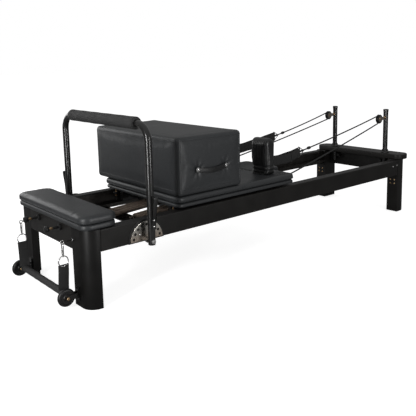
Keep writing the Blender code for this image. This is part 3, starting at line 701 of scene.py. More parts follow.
# %% [markdown]
# ## Wheels, sheaves and posts
# All of these are lathe work: a profile of radius and height turned about an axle. A wheel has a
# crowned tread, a step down to its web, and a hub, and each step is two close points of the
# profile so that its edge stays crisp. Brass hubs and shafts are separate pieces.
# %% Transport wheels
WHEEL_X, WHEEL_Y, WHEEL_Z, WHEEL_RADIUS = -0.057, 0.245, 0.0545, 0.040
ROLLER_RADIUS, ROLLER_Y, ROLLERS = 0.026, 0.250, {"foot": 0.560, "head": 1.220}
ROLLER_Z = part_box("carriage_wheel_near_foot")[0][2] + ROLLER_RADIUS


def mirrored(profile):
    """A profile's upper half and its mirror image below."""
    return np.concatenate([profile, (np.array(profile) * (1, -1))[::-1]])


def transport_wheel(word, side):
    center = (at(WHEEL_X), side * WHEEL_Y, WHEEL_Z)
    tread = arc((WHEEL_RADIUS - 0.011, 0), 0.011, 62, 0, 9)
    half = [(0.0056, 0.0108), (0.013, 0.0108), (0.014, 0.0098), (0.016, 0.0070), (0.027, 0.0070),
            (0.029, 0.0098)]
    profile = np.concatenate([mirrored(np.concatenate([half, tread])), [half[0]]])
    node = f"transport_wheel_{word}"
    make(f"rolling_wheel_{word}", turned(profile, center, (0, 1, 0), 64), TYRE, node,
         [node], capped=False)
    hub = turned([(0, 0.0035), (0.006, 0.0035), (0.0078, 0.002), (0.0078, 0), (0, 0)],
                 (center[0], side * (WHEEL_Y + 0.0200), WHEEL_Z), (0, side, 0), 6)
    inner = turned([(0, 0.0035), (0.006, 0.0035), (0.0078, 0.002), (0.0078, 0), (0, 0)],
                   (center[0], side * (WHEEL_Y - 0.0200), WHEEL_Z), (0, -side, 0), 6)
    sleeve = turned([(0.0052, -0.0120), (0.0105, -0.0120), (0.0105, 0.0120), (0.0052, 0.0120),
                     (0.0052, -0.0120)],
                    center, (0, 1, 0), 32)
    make(f"wheel_nuts_{word}", [hub, inner], BRASS, "frame", capped=False, angle=25)
    make(f"wheel_hub_{word}", sleeve, BRASS, node, capped=False)


both(transport_wheel)

# %% [markdown]
# ## Carriage wheels
# The four wheels that run on the tracks are smaller, and most of each hides below the deck.
# %% Carriage wheels


def carriage_wheel(word, side):
    for end, x in ROLLERS.items():
        node = f"carriage_wheel_{word}_{end}"
        half = [(0.0055, 0.0088), (0.011, 0.0088), (0.012, 0.0070), (0.020, 0.0070), (0.0215, 0.0088),
                (0.0245, 0.0088)]
        half = np.concatenate([half, arc((ROLLER_RADIUS - 0.003, 0.0055), 0.003, 70, 0, 5)])
        profile = np.concatenate([mirrored(half), half[:1]])
        shape = turned(profile, (at(x), side * ROLLER_Y, ROLLER_Z), (0, 1, 0), 48)
        make(f"roller_{word}_{end}", shape, TYRE, node, [node], capped=False)


both(carriage_wheel)
print("2 transport wheels and 4 carriage wheels")

# %% [markdown]
# ## Risers, sheaves and pegs
# All of these are turned on a lathe, so each is a profile of radius and height, turned about the
# line of its own axle or post.
# %% Risers, sheaves and pegs
RISER_X, RISER_Y, RISER_TOP, RISER_RADIUS = 2.350, 0.210, 0.678, 0.016
SHEAVE_X, SHEAVE_Z, SHEAVE_RADIUS, GROOVE_RADIUS = 2.272, 0.617, 0.030, 0.020


def riser(word, side):
    """Plug, tube and collar are one profile; a clamp knob holds the post from inside the beam."""
    top = RISER_TOP
    rim = [(0, top), (0.0140, top), (0.0165, top - 0.0006), (0.0175, top - 0.002),
           (0.0175, top - 0.016), (RISER_RADIUS, top - 0.0165)]
    tube = [(RISER_RADIUS, 0.4052), (0.0195, 0.4045), (0.0210, 0.4030), (0.0210, 0.3945),
            (0.0225, 0.3925), (0.0255, 0.3915)]
    foot = [(0.0270, 0.3900), (0.0270, 0.3845), (RISER_RADIUS, 0.3844), (RISER_RADIUS, 0.286), (0, 0.286)]
    shape = turned(rim + tube + foot, (at(RISER_X), side * RISER_Y, 0), (0, 0, 1), 48)
    make(f"rope_riser_{word}", shape, TUBE_PAINT, "frame", [f"riser_{word}"], capped=False)
    eye_plate = turned([(0, 0.0), (0.0095, 0.0), (0.0095, 0.0016), (0.0075, 0.0026), (0, 0.0026)],
                       (at(RISER_X) - RISER_RADIUS, side * RISER_Y, SHEAVE_Z + 0.004), (-1, 0, 0), 24)
    nut = turned([(0, 0.0), (0.0065, 0.0), (0.0065, 0.0045), (0.005, 0.0055), (0, 0.0055)],
                 (at(RISER_X) + RISER_RADIUS, side * RISER_Y, SHEAVE_Z + 0.004), (1, 0, 0), 6)
    make(f"riser_eye_{word}", [eye_plate, nut], BRASS, "frame", capped=False, angle=25)
    knob = [(0, 0.030), (0.010, 0.030), (0.0125, 0.028), (0.0125, 0.012), (0.006, 0.009), (0.006, 0.0),
            (0, 0.0)]
    shape = turned(knob, (at(2.3688), side * (RISER_Y - 0.034), 0.322), (-1, 0, 0), 28)
    make(f"riser_knob_{word}", shape, HARD_PLASTIC, "frame", capped=False)


def sheave(word, side):
    groove = arc((GROOVE_RADIUS + 0.0045, 0), 0.0050, 105, 255, 13)
    half = [(0.0036, 0.0072), (SHEAVE_RADIUS - 0.0012, 0.0072), (SHEAVE_RADIUS, 0.0060)]
    profile = np.concatenate([half, groove,
                              (np.array(half) * (1, -1))[::-1], half[:1]])
    center = (at(SHEAVE_X), side * RISER_Y, SHEAVE_Z)
    make(f"rope_sheave_{word}", turned(profile, center, (0, 1, 0), 56), HARD_PLASTIC, f"sheave_{word}",
         [f"sheave_{word}"], capped=False)
    heads = [bolt_head((at(SHEAVE_X), side * RISER_Y + way * 0.0108, SHEAVE_Z), (0, way, 0), 0.0052,
                       0.0022) for way in (-1, 1)]
    make(f"sheave_axle_{word}", heads, BRASS, "frame", capped=False)


def peg(word, side):
    center = (at(0.0), side * 0.110, 0.327)
    knob = [(0, 0.076), (0.0095, 0.076), (0.0125, 0.0745), (0.014, 0.0715), (0.014, 0.0605),
            (0.0125, 0.0575), (0.009, 0.0555), (0, 0.0555)]
    make(f"peg_knob_{word}", turned(knob, center, (-1, 0, 0), 36), HARD_PLASTIC, "frame",
         [f"peg_{word}"], capped=False)
    shaft = [(0, 0.056), (0.0040, 0.056), (0.0040, 0.049), (0.0058, 0.048), (0.0062, 0.046),
             (0.0062, 0.038), (0.0055, 0.037), (0, 0.037)]
    make(f"peg_shaft_{word}", turned(shaft, center, (-1, 0, 0), 28), BRASS, "frame", capped=False)
    boss = [(0, 0.0375), (0.0056, 0.0375), (0.0060, 0.036), (0.0062, 0.0105), (0.0105, 0.0105),
            (0.0140, 0.0095), (0.0150, 0.0080), (0.0150, 0.0003), (0, 0.0003)]
    make(f"peg_boss_{word}", turned(boss, center, (-1, 0, 0), 36), HARD_PLASTIC, "frame",
         capped=False)


both(riser)
both(sheave)
both(peg)
print("2 risers, 2 sheaves, 2 pegs")

# %% [markdown]
# ## Springs
# A closed coil is a helix whose pitch is hardly more than the wire. A circle carried along the
# helix gives the wire, and the axis of the helix serves as the direction that keeps the circle
# from twisting.
# %% Wind the coils
SPRING_RADIUS, SPRING_END, WIRE_RADIUS, PITCH = 0.013, 0.615, 0.0019, 0.0040
SPRING_LINES = {1: (0.115, 0.245), 2: (0.080, 0.245), 3: (0.045, 0.245), 4: (-0.060, 0.412),
                5: (-0.095, 0.412)}


def spring_height(x):
    return 0.281 + 0.06 * (x - 0.37)


def spring(number, line, start):
    """x runs evenly; y and z go round at SPRING_RADIUS - WIRE_RADIUS, one turn for each pitch."""
    first, last = start, SPRING_END - 0.006
    turns = round((last - first) / PITCH)
    part = np.linspace(0, 1, turns * 12 + 1)
    start_taper = np.clip(1 - part * turns / 2, 0, 1)
    end_taper = np.clip(1 - (1 - part) * turns / 2, 0, 1)
    taper = 1 - 0.72 * (start_taper**2 + end_taper**2)
    radius = (SPRING_RADIUS - WIRE_RADIUS) * taper
    x = first + (last - first) * part
    turn = FULL_TURN * turns * part
    path = np.stack([at(x), line + radius * np.cos(turn), spring_height(x) + radius * np.sin(turn)],
                    axis=-1)
    coil = swept(circle(WIRE_RADIUS, 7), path, (1, 0, 0))
    ends = []
    for x0, x1 in ((start - 0.009, start + 0.012), (SPRING_END - 0.020, SPRING_END + 0.006)):
        steps = np.linspace(x0, x1, 6)
        shank = np.stack([at(steps), np.full(6, line), spring_height(steps)], axis=-1)
        ends.append(swept(circle(0.0024, 12), shank, (0, 1, 0)))
    loop = arc((0, 0), 0.0062, 0, 360, 25)
    x = start - 0.0145
    hook = np.stack([at(x) + loop[:, 0], line + loop[:, 1], np.full(25, spring_height(x))], axis=-1)
    hook = swept(circle(0.0016, 10), hook, (0, 0, 1))
    name = f"coil_{number}"
    obj = grid_object(name, [coil, *ends, hook], capped=True)
    obj.data.materials.append(SPRING_WIRE.material)
    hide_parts(f"spring_{number}")
    height = spring_height(start)
    at(start - 0.02)
    at(SPRING_END)
    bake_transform(obj)
    return turns


turns = [spring(number, *line) for number, line in SPRING_LINES.items()]
print("five coils of", turns, "turns")

# %% [markdown]
# ## Hanging bar
# A foam-covered bar hangs from the foot end in two webbing straps. Each strap is a band folded
# over a ring at the top and round the bar below, so its two layers show at the edges. A band is
# a thin rounded rectangle carried along the fold's path. Rings and snap hooks are bent rod.
# %% Rows of stitches


def stitches(name, rows, body, length=0.0034, radius=0.00035):
    """At every point of every row, a short rod along the row:
    P = point + s·length·direction + r·(cos t·e1 + sin t·e2),
    with r falling to nothing at the rod's two ends. All rods are worked out in one go."""
    s = np.array([-0.5, -0.38, 0.38, 0.5])
    r = radius * np.array([0.15, 1.0, 1.0, 0.15])
    turn = np.linspace(0, FULL_TURN, 6)
    rods = []
    for row in rows:
        direction = unit(np.gradient(row, axis=0))
        e1 = unit(np.cross(direction, np.array([0.31, 0.87, 0.38])))
        e2 = np.cross(direction, e1)
        ring = np.cos(turn)[:, None] * e1[:, None] + np.sin(turn)[:, None] * e2[:, None]
        along = row[:, None] + s[:, None] * length * direction[:, None]
        rods.append(along[:, :, None] + r[:, None, None] * ring[:, None])
    make(name, list(np.concatenate(rods)), THREAD, body)


# %% [markdown]
# ## The bar and its straps
# The bar hangs in the two folded straps, each on a ring, a snap hook and an eye bolt.
# %% Bar, straps, rings and snap hooks
HANGER_X, HANGER_Z, HANGER_RADIUS = -0.047, 0.060, 0.016
HANGER_Y, HANGER_LOW_Y, HANGER_LEAN, HANGER_EYE_Z = 0.218, 0.206, 0.100, 0.281
RING_Z, RING_RADIUS, STRAP_TOP, EYE_Z = 0.2070, 0.0225, 0.1935, 0.2905
STRAP_HALF, STRAP_THICKNESS = 0.024, 0.0022


def band_profile(half_width, thickness):
    """A strap's cross-section: flat faces and fully rounded edges."""
    r = thickness / 2
    round_ends = arc((half_width - r, 0), r, -90, 90, 7), arc((r - half_width, 0), r, 90, 270, 7)
    return np.concatenate([*round_ends, [(half_width - r, -r)]])


grip = np.linspace(-1, 1, 41)
grip_rows = np.stack([HANGER_RADIUS - 0.0004 + 0.0003 * np.cos(grip * math.pi * 6),
                      grip * (HANGER_LOW_Y - 0.003)], axis=-1)
grip_profile = np.concatenate([[(0, 0.003 - HANGER_LOW_Y)], grip_rows, [(0, HANGER_LOW_Y - 0.003)]])
grip_shape = turned(grip_profile, (at(HANGER_X), 0, HANGER_Z), (0, 1, 0), 44)
make("hanging_grip", grip_shape, FOAM_GRIP, "hanging_bar", ["hanging_bar"], capped=False)


def hanging_strap(word, side):
    y, foot_y = side * HANGER_Y, side * HANGER_LOW_Y
    low, top = HANGER_Z + HANGER_RADIUS - 0.001, STRAP_TOP
    wrap = arc((0, HANGER_Z), HANGER_RADIUS + 0.0012, 0, 360, 41)
    bar_wrap = np.stack([at(HANGER_X) + wrap[:, 0], np.full(41, foot_y + side * 0.001), wrap[:, 1]],
                        axis=-1)
    cuff = swept(band_profile(0.0075, 0.0028), bar_wrap, (0, 1, 0))
    end = turned([(0, 0.0032), (0.0135, 0.0032), (0.0152, 0.002), (0.0156, 0), (0, 0)],
                 (at(HANGER_X), side * (HANGER_LOW_Y + 0.0032), HANGER_Z), (0, side, 0), 36)
    make(f"grip_end_{word}", end, HARD_PLASTIC, "hanging_bar", capped=False)
    gap = 0.0016
    height = np.linspace(low, top - 0.004, 22)
    lean = 0.0010 * np.sin((height - low) * 55.0) - side * HANGER_LEAN * (STRAP_TOP - height)
    front = np.stack([np.full(22, at(HANGER_X)), y + gap + lean, height], axis=-1)
    fold = arc((0, top - 0.0035), gap, 0, 180, 11)[1:-1]
    bend = np.stack([np.full(9, at(HANGER_X)), y + fold[:, 0] + lean[-1], fold[:, 1]], axis=-1)
    back = front[::-1] - (0, 2 * gap, 0)
    strap = swept(band_profile(STRAP_HALF, STRAP_THICKNESS), np.concatenate([front, bend, back]), (1, 0, 0))
    pieces = [strap, cuff]
    make(f"bar_strap_{word}", pieces, WEBBING, "hanging_bar", [f"hanging_strap_{word}"],
         angle=50)
    rows = np.linspace(0.082, 0.178, 20)
    marks = [np.stack([np.full(20, at(HANGER_X) + dx), y + way * 0.0031 + np.interp(rows, height, lean),
                       rows], axis=-1)
             for dx in (-0.019, 0.019) for way in (-1, 1)]
    stitches(f"strap_stitches_{word}", marks, "hanging_bar")
    ring = arc((0, RING_Z), RING_RADIUS, -90, 270, 57)
    ring = np.stack([at(HANGER_X) + ring[:, 0], np.full(57, y), ring[:, 1]], axis=-1)
    hook = [arc((0, RING_Z + RING_RADIUS + 0.0020), 0.0048, 180, 360, 13),
            arc((0, HANGER_EYE_Z - 0.0035), 0.0088, 0, 180, 19)]
    hook = np.concatenate([*hook, hook[0][:1]])
    hook = np.stack([np.full(len(hook), at(HANGER_X)), y + hook[:, 0], hook[:, 1]], axis=-1)
    bars = [swept(circle(0.0024, 14), ring, (0, 1, 0)), swept(circle(0.0023, 14), hook, (1, 0, 0))]
    gate = np.linspace(0.240, 0.264, 6)
    sleeve = np.stack([np.full(6, at(HANGER_X)), y + 0.0048 + (gate - 0.2315) * 0.087, gate], axis=-1)
    bars.append(swept(circle(0.0033, 14), sleeve, (1, 0, 0)))
    make(f"ring_and_hook_{word}", bars, STEEL, "hanging_bar", [f"hanging_ring_{word}"])
    eye = arc((HANGER_X, EYE_Z), 0.0080, 0, 360, 29)
    eye = np.stack([at(eye[:, 0]), np.full(29, y), eye[:, 1]], axis=-1)
    shank = np.linspace(at(HANGER_X + 0.0085), at(0.0), 5)
    shank = np.stack([shank, np.full(5, y), np.full(5, EYE_Z)], axis=-1)
    washer = turned([(0, 0.003), (0.007, 0.003), (0.0085, 0.0015), (0.0085, 0), (0, 0)],
                    (at(0.0), y, EYE_Z), (-1, 0, 0), 24)
    make(f"eye_bolt_{word}", swept(circle(0.0019, 12), eye, (0, 1, 0)), STEEL, "frame")
    make(f"eye_bolt_shank_{word}", [swept(circle(0.0022, 12), shank, (0, 1, 0)), washer], TUBE_PAINT,
         "frame")


both(hanging_strap)
print("a bar in two straps")

# %% [markdown]
# ## Padding
# Vinyl over foam is tight, yet never a hard block: its faces crown a little and its edges are
# soft. Each pad starts as its outline, raised and rounded over, a little smaller than the solid.
# It is remeshed into even squares, and then Cloth with air pressure inside swells it for twenty
# frames. How far a point may move is limited softly, move·cap / (cap + move), so the middle
# crowns more than the rim. A pad stays flat where something rests on it.
# %% Swell a pad
CLOTH_FRAMES, CLOTH_PRESSURE = 20, 4.0
SWELL_TIMES = []


def coordinates(mesh):
    points = np.empty(len(mesh.vertices) * 3, np.float32)
    mesh.vertices.foreach_get("co", points)
    return points.reshape(-1, 3).astype(float)


def normals(mesh):
    found = np.empty(len(mesh.vertices) * 3, np.float32)
    mesh.vertices.foreach_get("normal", found)
    return found.reshape(-1, 3).astype(float)


def set_coordinates(mesh, points):
    mesh.vertices.foreach_set("co", np.asarray(points, np.float32).ravel())
    mesh.update()


def remeshed(obj, voxel, smoothing=4):
    remesh = obj.modifiers.new("squares", "REMESH")
    remesh.mode = "VOXEL"
    remesh.voxel_size = voxel
    remesh.use_smooth_shade = True
    smooth = obj.modifiers.new("smooth", "SMOOTH")
    smooth.iterations = smoothing
    smooth.factor = 0.5
    return applied(obj)


def swollen(obj, cap, moves):
    """Moves each point by its Cloth move, softly limited to cap and weighted by moves(points) from 0 to 1."""
    rest = coordinates(obj.data)
    cloth = obj.modifiers.new("air", "CLOTH")
    cloth.settings.quality = 4
    cloth.settings.mass = 0.2
    cloth.settings.tension_stiffness = 20
    cloth.settings.compression_stiffness = 20
    cloth.settings.bending_stiffness = 1.0
    cloth.settings.use_pressure = True
    cloth.settings.uniform_pressure_force = CLOTH_PRESSURE
    cloth.settings.effector_weights.gravity = 0
    cloth.collision_settings.use_collision = False
    cloth.point_cache.frame_start = 1
    cloth.point_cache.frame_end = CLOTH_FRAMES
    for number in range(1, CLOTH_FRAMES + 1):
        bpy.context.scene.frame_set(number)
    graph = bpy.context.evaluated_depsgraph_get()
    swelled = obj.evaluated_get(graph)
    mesh = swelled.to_mesh()
    move = coordinates(mesh) - rest
    swelled.to_mesh_clear()
    obj.modifiers.clear()
    bpy.context.scene.frame_set(1)
    move -= move.mean(axis=0)
    size = np.linalg.norm(move, axis=1, keepdims=True)
    move *= cap / (cap + size) * moves(rest)[:, None]
    set_coordinates(obj.data, rest + move)
    return float(np.linalg.norm(move, axis=1).max())


def pad(name, shape, node, body, voxel, cap, moves, finish=None, cover=None):
    """A padded piece from its raised outline."""
    obj = remeshed(grid_object(name, [shape]), voxel)
    most = swollen(obj, cap, moves)
    obj.data.shade_smooth()
    SWELL_TIMES.append((name, len(obj.data.vertices), round(most * 1000, 2)))
    if finish:
        finish(obj)
    dress(obj, cover or VINYL, body, [node])
    return obj


def above(level, fade=0.008):
    """Weight 0 below the level and 1 above it, because a pad is flat on its board."""
    return lambda p: np.clip((p[:, 2] - level) / fade, 0, 1)


print("pads swell by up to a few millimetres in", CLOTH_FRAMES, "frames")

# %% [markdown]
# ## Seams
# A sewn edge is a thin cord of vinyl, called a welt, between two panels. Its path is laid on the
# swollen pad with a Shrinkwrap on a string of points, so it follows the crown, and a circle is
# carried along it. Stitches run beside it.
# %% Welts that follow the pad


def laid_on(path, obj, offset=0.0):
    """The path's points moved to the nearest places of the piece's surface."""
    mesh = bpy.data.meshes.new("string")
    mesh.from_pydata(path, [], [])
    string = bpy.data.objects.new("string", mesh)
    bpy.context.scene.collection.objects.link(string)
    wrap = string.modifiers.new("on_pad", "SHRINKWRAP")
    wrap.target = obj
    wrap.offset = offset
    bpy.context.view_layer.update()
    graph = bpy.context.evaluated_depsgraph_get()
    laid = coordinates(string.evaluated_get(graph).to_mesh())
    bpy.data.objects.remove(string)
    return laid


def around(outline, level, plane="XY", count=240):
    """Evenly spaced points round a closed outline, at one level of the third axis."""
    closed = np.concatenate([outline, outline[:1]])
    run = np.concatenate([[0], np.cumsum(np.linalg.norm(np.diff(closed, axis=0), axis=1))])
    spots = np.linspace(0, run[-1], count + 1)
    a, b = np.interp(spots, run, closed[:, 0]), np.interp(spots, run, closed[:, 1])
    level = np.full(len(a), level)
    return np.stack([a, b, level] if plane == "XY" else [a, level, b], axis=-1)


def welt(name, path, pad_piece, body, radius=0.0015, across=(0, 0, 1)):
    make(name, swept(circle(radius, 10), laid_on(path, pad_piece), across), VINYL, body)


def seam_stitches(name, path, pad_piece, body, pitch=0.006):
    """Points every pitch along the path, on the pad, with a stitch at each."""
    run = np.concatenate([[0], np.cumsum(np.linalg.norm(np.diff(path, axis=0), axis=1))])
    spots = np.linspace(0, run[-1], max(2, int(run[-1] / pitch)))
    row = np.stack([np.interp(spots, run, path[:, axis]) for axis in range(3)], axis=-1)
    stitches(name, [laid_on(row, pad_piece, 0.0001)], body)


# %% [markdown]
# ## Foot platform
# Two layers lie on the foot posts: a firm one and a softer one over it, both with wide round
# corners. The groove between them is their two rounded edges meeting, with a welt in it.
# %% Platform
PLATFORM_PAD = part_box("platform_pad")


def inset_box(corners, inset):
    low, high = corners
    return (low[0] + inset, low[1] + inset), (high[0] - inset, high[1] - inset)


def layer(name, node, body, radius, edge, inset, voxel, cap, fill, moves=None):
    """A pad on the solid's own box, pulled in by what it will swell."""
    low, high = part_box(node)
    outline = rounded_rectangle(*inset_box((low, high), inset), radius)
    moves = moves or above(low[2] + edge * 0.4)
    shape = raised(outline, low[2], high[2] - inset * 0.5, edge)
    return pad(name, shape, node, body, voxel, cap, moves), outline


lower, _ = layer("platform_lower_layer", "platform_base", "frame", 0.045, 0.007, 0.0015, 0.0055, 0.002,
                 0.95)
upper, outline = layer("platform_cushion", "platform_pad", "frame", 0.048, 0.0125, 0.002, 0.0050, 0.004,
                       0.85)
seam = around(outline, PLATFORM_PAD[0][2] + 0.0085)
welt("platform_welt", seam, upper, "frame", 0.0012)
seam_stitches("platform_stitches", seam + (0, 0, 0.0045), upper, "frame")

# %% [markdown]
# ## Carriage
# The carriage has the same two layers, with a notch at the head end where the headrest lies. The
# sitting box and the shoulder rests stand on it, so the foam stays flat below them.
# %% Carriage deck and headrest
CARRIAGE_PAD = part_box("carriage_pad")
HEADREST, SITTING_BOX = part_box("headrest"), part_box("sitting_box")
REST = {word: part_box(f"shoulder_rest_{word}") for word in SIDES}
layer("carriage_lower_layer", "carriage_base", "carriage", 0.026, 0.007, 0.0015, 0.0065, 0.002, 0.95)


def loaded(p):
    """0 under the box and the rests and below the pad's rim, 1 elsewhere, with soft borders."""
    free = above(CARRIAGE_PAD[0][2] + 0.008)(p)
    for low, high in (SITTING_BOX, *REST.values()):
        out = np.maximum.reduce([low[0] - p[:, 0], p[:, 0] - high[0], low[1] - p[:, 1], p[:, 1] - high[1]])
        free = np.minimum(free, np.clip(out / 0.03, 0, 1))
    return free


def carriage_outline(inset):
    """The deck's outline with round foot corners, round head corners and the headrest's notch."""
    low, high = inset_box(CARRIAGE_PAD, inset)
    notch, radius = HEADREST[1][1] + 0.001 + inset, 0.030
    half = np.concatenate([
        [(HEADREST[0][0] - 0.003 - inset, notch), (high[0], notch)],
        arc((high[0] - radius, high[1] - radius), radius, 0, 90, 10),
        arc((low[0] + radius, high[1] - radius), radius, 90, 180, 10),
    ])
    return np.concatenate([half, (half * (1, -1))[::-1]])


outline = carriage_outline(0.0015)
shape = raised(outline, CARRIAGE_PAD[0][2], CARRIAGE_PAD[1][2] - 0.0004, 0.0105)
deck = pad("carriage_cushion", shape, "carriage_pad", "carriage", 0.0065, 0.0030, loaded)
seam = around(outline, CARRIAGE_PAD[0][2] + 0.0080, count=400)
welt("carriage_welt", seam, deck, "carriage", 0.0012)
seam_stitches("carriage_stitches", seam + (0, 0, 0.0045), deck, "carriage")
headrest, outline = layer("headrest_cushion", "headrest", "headrest", 0.025, 0.0105, 0.0015, 0.0045,
                          0.003, 0.85)
welt("headrest_welt", around(outline, HEADREST[0][2] + 0.0085, count=160), headrest, "headrest", 0.0012)

# %% [markdown]
# ## Shoulder rests
# A rest is an upright block with a round top. Its front is gathered into fine upright folds
# where the vinyl turns over the top, and two bands go round its foot. Folds and bands are a
# formula on the remeshed points, moved along their normals after the swelling.
# %% Rests
REST_END, BAIL_X, BAIL_Z, BAIL_REACH = 1.212, 1.234, 0.470, 0.036


def rest_details(low, high):
    def fold(obj):
        """Bands: -d·exp(-((z - z0) / w)^2). Gathers: -g·|sin(pi·y / pitch)|, on the front only.
        The foot is narrower at the front."""
        points, out = coordinates(obj.data), normals(obj.data)
        z, y = points[:, 2], points[:, 1] - low[1]
        bands = sum(0.0034 * np.exp(-((z - level) / 0.0034) ** 2) for level in (0.4335, 0.4550))
        upright = np.clip((z - 0.466) / 0.02, 0, 1)
        front = np.clip(-out[:, 0] * 1.6, 0, 1)
        waist = 0.007 * front * np.clip((0.500 - z) / 0.045, 0, 1)
        front = front * upright
        wander = 0.0012 * np.sin(z * 61.0) + 0.0008 * np.sin(z * 149.0 + 1.0)
        gathers = 0.0016 * np.abs(np.sin(math.pi * (y + wander) / 0.0125)) * front
        inside = np.clip(np.minimum(y, high[1] - low[1] - y) / 0.012, 0, 1)
        set_coordinates(obj.data, points - out * (bands + waist + gathers * inside)[:, None])

    return fold


def shoulder_rest(word, side):
    low, high = REST[word]
    inset, end = 0.002, at(REST_END)
    radius = (end - low[0]) / 2
    top = high[2] - inset
    outline = np.concatenate([
        [(low[0] + inset, low[2]), (end - inset, low[2])],
        arc((low[0] + radius, top - radius + inset), radius - inset, 0, 180, 25),
    ])
    y0, y1 = low[1] + inset, high[1] - inset
    shape = raised(outline, y0, y1, 0.0190, "XZ")
    name, body = f"shoulder_cushion_{word}", "carriage"
    # The rests take the darker strap vinyl, which is painted shade.
    cushion = pad(name, shape, f"shoulder_rest_{word}", body, 0.0036, 0.003, above(low[2] + 0.004),
                  rest_details(low, high), STRAP_AND_SHADED_REST_VINYL)
    for label, level in (("inner", y1 if side < 0 else y0), ("outer", y0 if side < 0 else y1)):
        inward = 0.0085 if level == y0 else -0.0085
        path = around(outline, level + inward, "XZ", 130)
        welt(f"rest_welt_{label}_{word}", path[path[:, 2] > low[2] + 0.05], cushion, body, 0.0013,
             (0, 1, 0))
    middle = (low[1] + high[1]) / 2
    root, turn, reach = end - 0.006, at(BAIL_X) - 0.005, BAIL_REACH - 0.005
    bail = np.concatenate([
        [(root, BAIL_Z - BAIL_REACH)], arc((turn, BAIL_Z - reach), 0.005, -90, 0, 6),
        arc((turn, BAIL_Z + reach), 0.005, 0, 90, 6), [(root, BAIL_Z + BAIL_REACH)],
    ])
    bail = np.stack([bail[:, 0], np.full(len(bail), middle), bail[:, 1]], axis=-1)
    make(f"rest_bail_{word}", swept(circle(0.004, 16), bail, (0, 1, 0)), STEEL, body)


both(shoulder_rest)

# %% [markdown]
# ## Sitting box
# The box is plywood under thin foam, so its faces crown by only a millimetre or two. Its upright
# corners and top edges are rounded, a seam runs round below the top, and others go down the
# corners. A strap handle hangs on each end between two bright studs.
# %% Box and handles
BOX_CORNER, BOX_EDGE = 0.019, 0.017
low, high = SITTING_BOX
outline = rounded_rectangle(*inset_box(SITTING_BOX, 0.0012), BOX_CORNER)


def box_moves(p):
    """Flat on the deck below, and held by the handles' studs on the two ends."""
    rise = np.clip((p[:, 2] - low[2] - 0.004) / 0.03, 0, 1)
    stud = np.minimum(np.hypot(p[:, 0] - at(STUD_X[0]), p[:, 2] - STUD_Z),
                      np.hypot(p[:, 0] - at(STUD_X[1]), p[:, 2] - STUD_Z))
    return rise * np.clip(stud / 0.03, 0.15, 1)


def puckers(obj):
    """Round each stud, r away and at the angle t:
    -4.8 mm·exp(-(r/22 mm)^2) + 1.9 mm·cos(7t)·(r/16 mm)·exp(-(r/28 mm)^2)."""
    points, out = coordinates(obj.data), normals(obj.data)
    dent = np.zeros(len(points))
    for x in STUD_X:
        dx, dz = points[:, 0] - at(x), points[:, 2] - STUD_Z
        r, t = np.hypot(dx, dz), np.arctan2(dz, dx)
        folds = 0.0019 * np.cos(7 * t) * (r / 0.016) * np.exp(-((r / 0.028) ** 2))
        dent += 0.0048 * np.exp(-((r / 0.022) ** 2)) - folds
    ends = np.clip(np.abs(out[:, 1]) * 2 - 1, 0, 1)
    set_coordinates(obj.data, points - out * (dent * ends)[:, None])


HANDLE_X, HANDLE_HALF, HANDLE_Z, HANDLE_SAG, HANDLE_REACH = 0.691, 0.098, 0.530, 0.012, 0.012
STUD_X, STUD_Z = (HANDLE_X - HANDLE_HALF + 0.010, HANDLE_X + HANDLE_HALF - 0.010), HANDLE_Z - 0.002
shape = raised(outline, low[2], high[2] - 0.0012, BOX_EDGE)
box_piece = pad("box_upholstery", shape, "sitting_box", "sitting_box", 0.0060, 0.0022, box_moves,
                puckers)
welt("box_top_welt", around(outline, high[2] - BOX_EDGE - 0.004, count=320), box_piece, "sitting_box",
     0.0016)
welt("box_foot_welt", around(outline, low[2] + 0.026, count=320), box_piece, "sitting_box", 0.0014)
seam_stitches("box_top_stitches", around(outline, high[2] - BOX_EDGE - 0.0095, count=320), box_piece,
              "sitting_box")
rise = np.linspace(low[2] + 0.028, high[2] - BOX_EDGE - 0.004, 40)
beside_corners = [(x, y) for y in (low[1], high[1]) for x in (low[0] + BOX_CORNER, high[0] - BOX_CORNER)]
beside_corners += [(x, y) for y in (low[1] + BOX_CORNER, high[1] - BOX_CORNER) for x in (low[0], high[0])]
upright_lines = [np.stack([np.full(40, x), np.full(40, y), rise], axis=-1) for x, y in beside_corners]
upright = [swept(circle(0.0013, 10), laid_on(line, box_piece), (1, 1, 0)) for line in upright_lines]
make("box_corner_welts", upright, VINYL, "sitting_box")


def box_handle(word, side):
    """x runs evenly; the strap hangs by sag·sin(pi·s) and stands out by reach·sin(pi·s)."""
    face = low[1] if side < 0 else high[1]
    s = np.linspace(0, 1, 41)
    bow = np.sin(math.pi * s)
    path = np.stack([at(HANDLE_X + HANDLE_HALF * (2 * s - 1)),
                     face + side * (0.0032 + HANDLE_REACH * bow), HANDLE_Z - HANDLE_SAG * bow], axis=-1)
    profile = band_profile(0.0122, 0.0032)
    strap = swept(profile, path, (0, 0, 1))
    ribs = [swept(circle(0.0011, 8), path + (0, side * 0.0016, z), (0, 0, 1)) for z in (-0.0088, 0.0088)]
    make(f"handle_strap_{word}", [strap, *ribs], STRAP_AND_SHADED_REST_VINYL, "sitting_box",
         [f"box_handle_{word}"])
    dome = [(0, 0.0062), (0.0035, 0.0058), (0.0070, 0.0045), (0.0095, 0.0026), (0.0112, 0.0006),
            (0.0112, 0), (0, 0)]
    studs = [turned(dome, (at(x), face + side * 0.0056, STUD_Z), (0, side, 0), 36) for x in STUD_X]
    make(f"handle_studs_{word}", studs, STEEL, "sitting_box", capped=False)


both(box_handle)
print("pads (name, points, most swell in mm):", SWELL_TIMES)

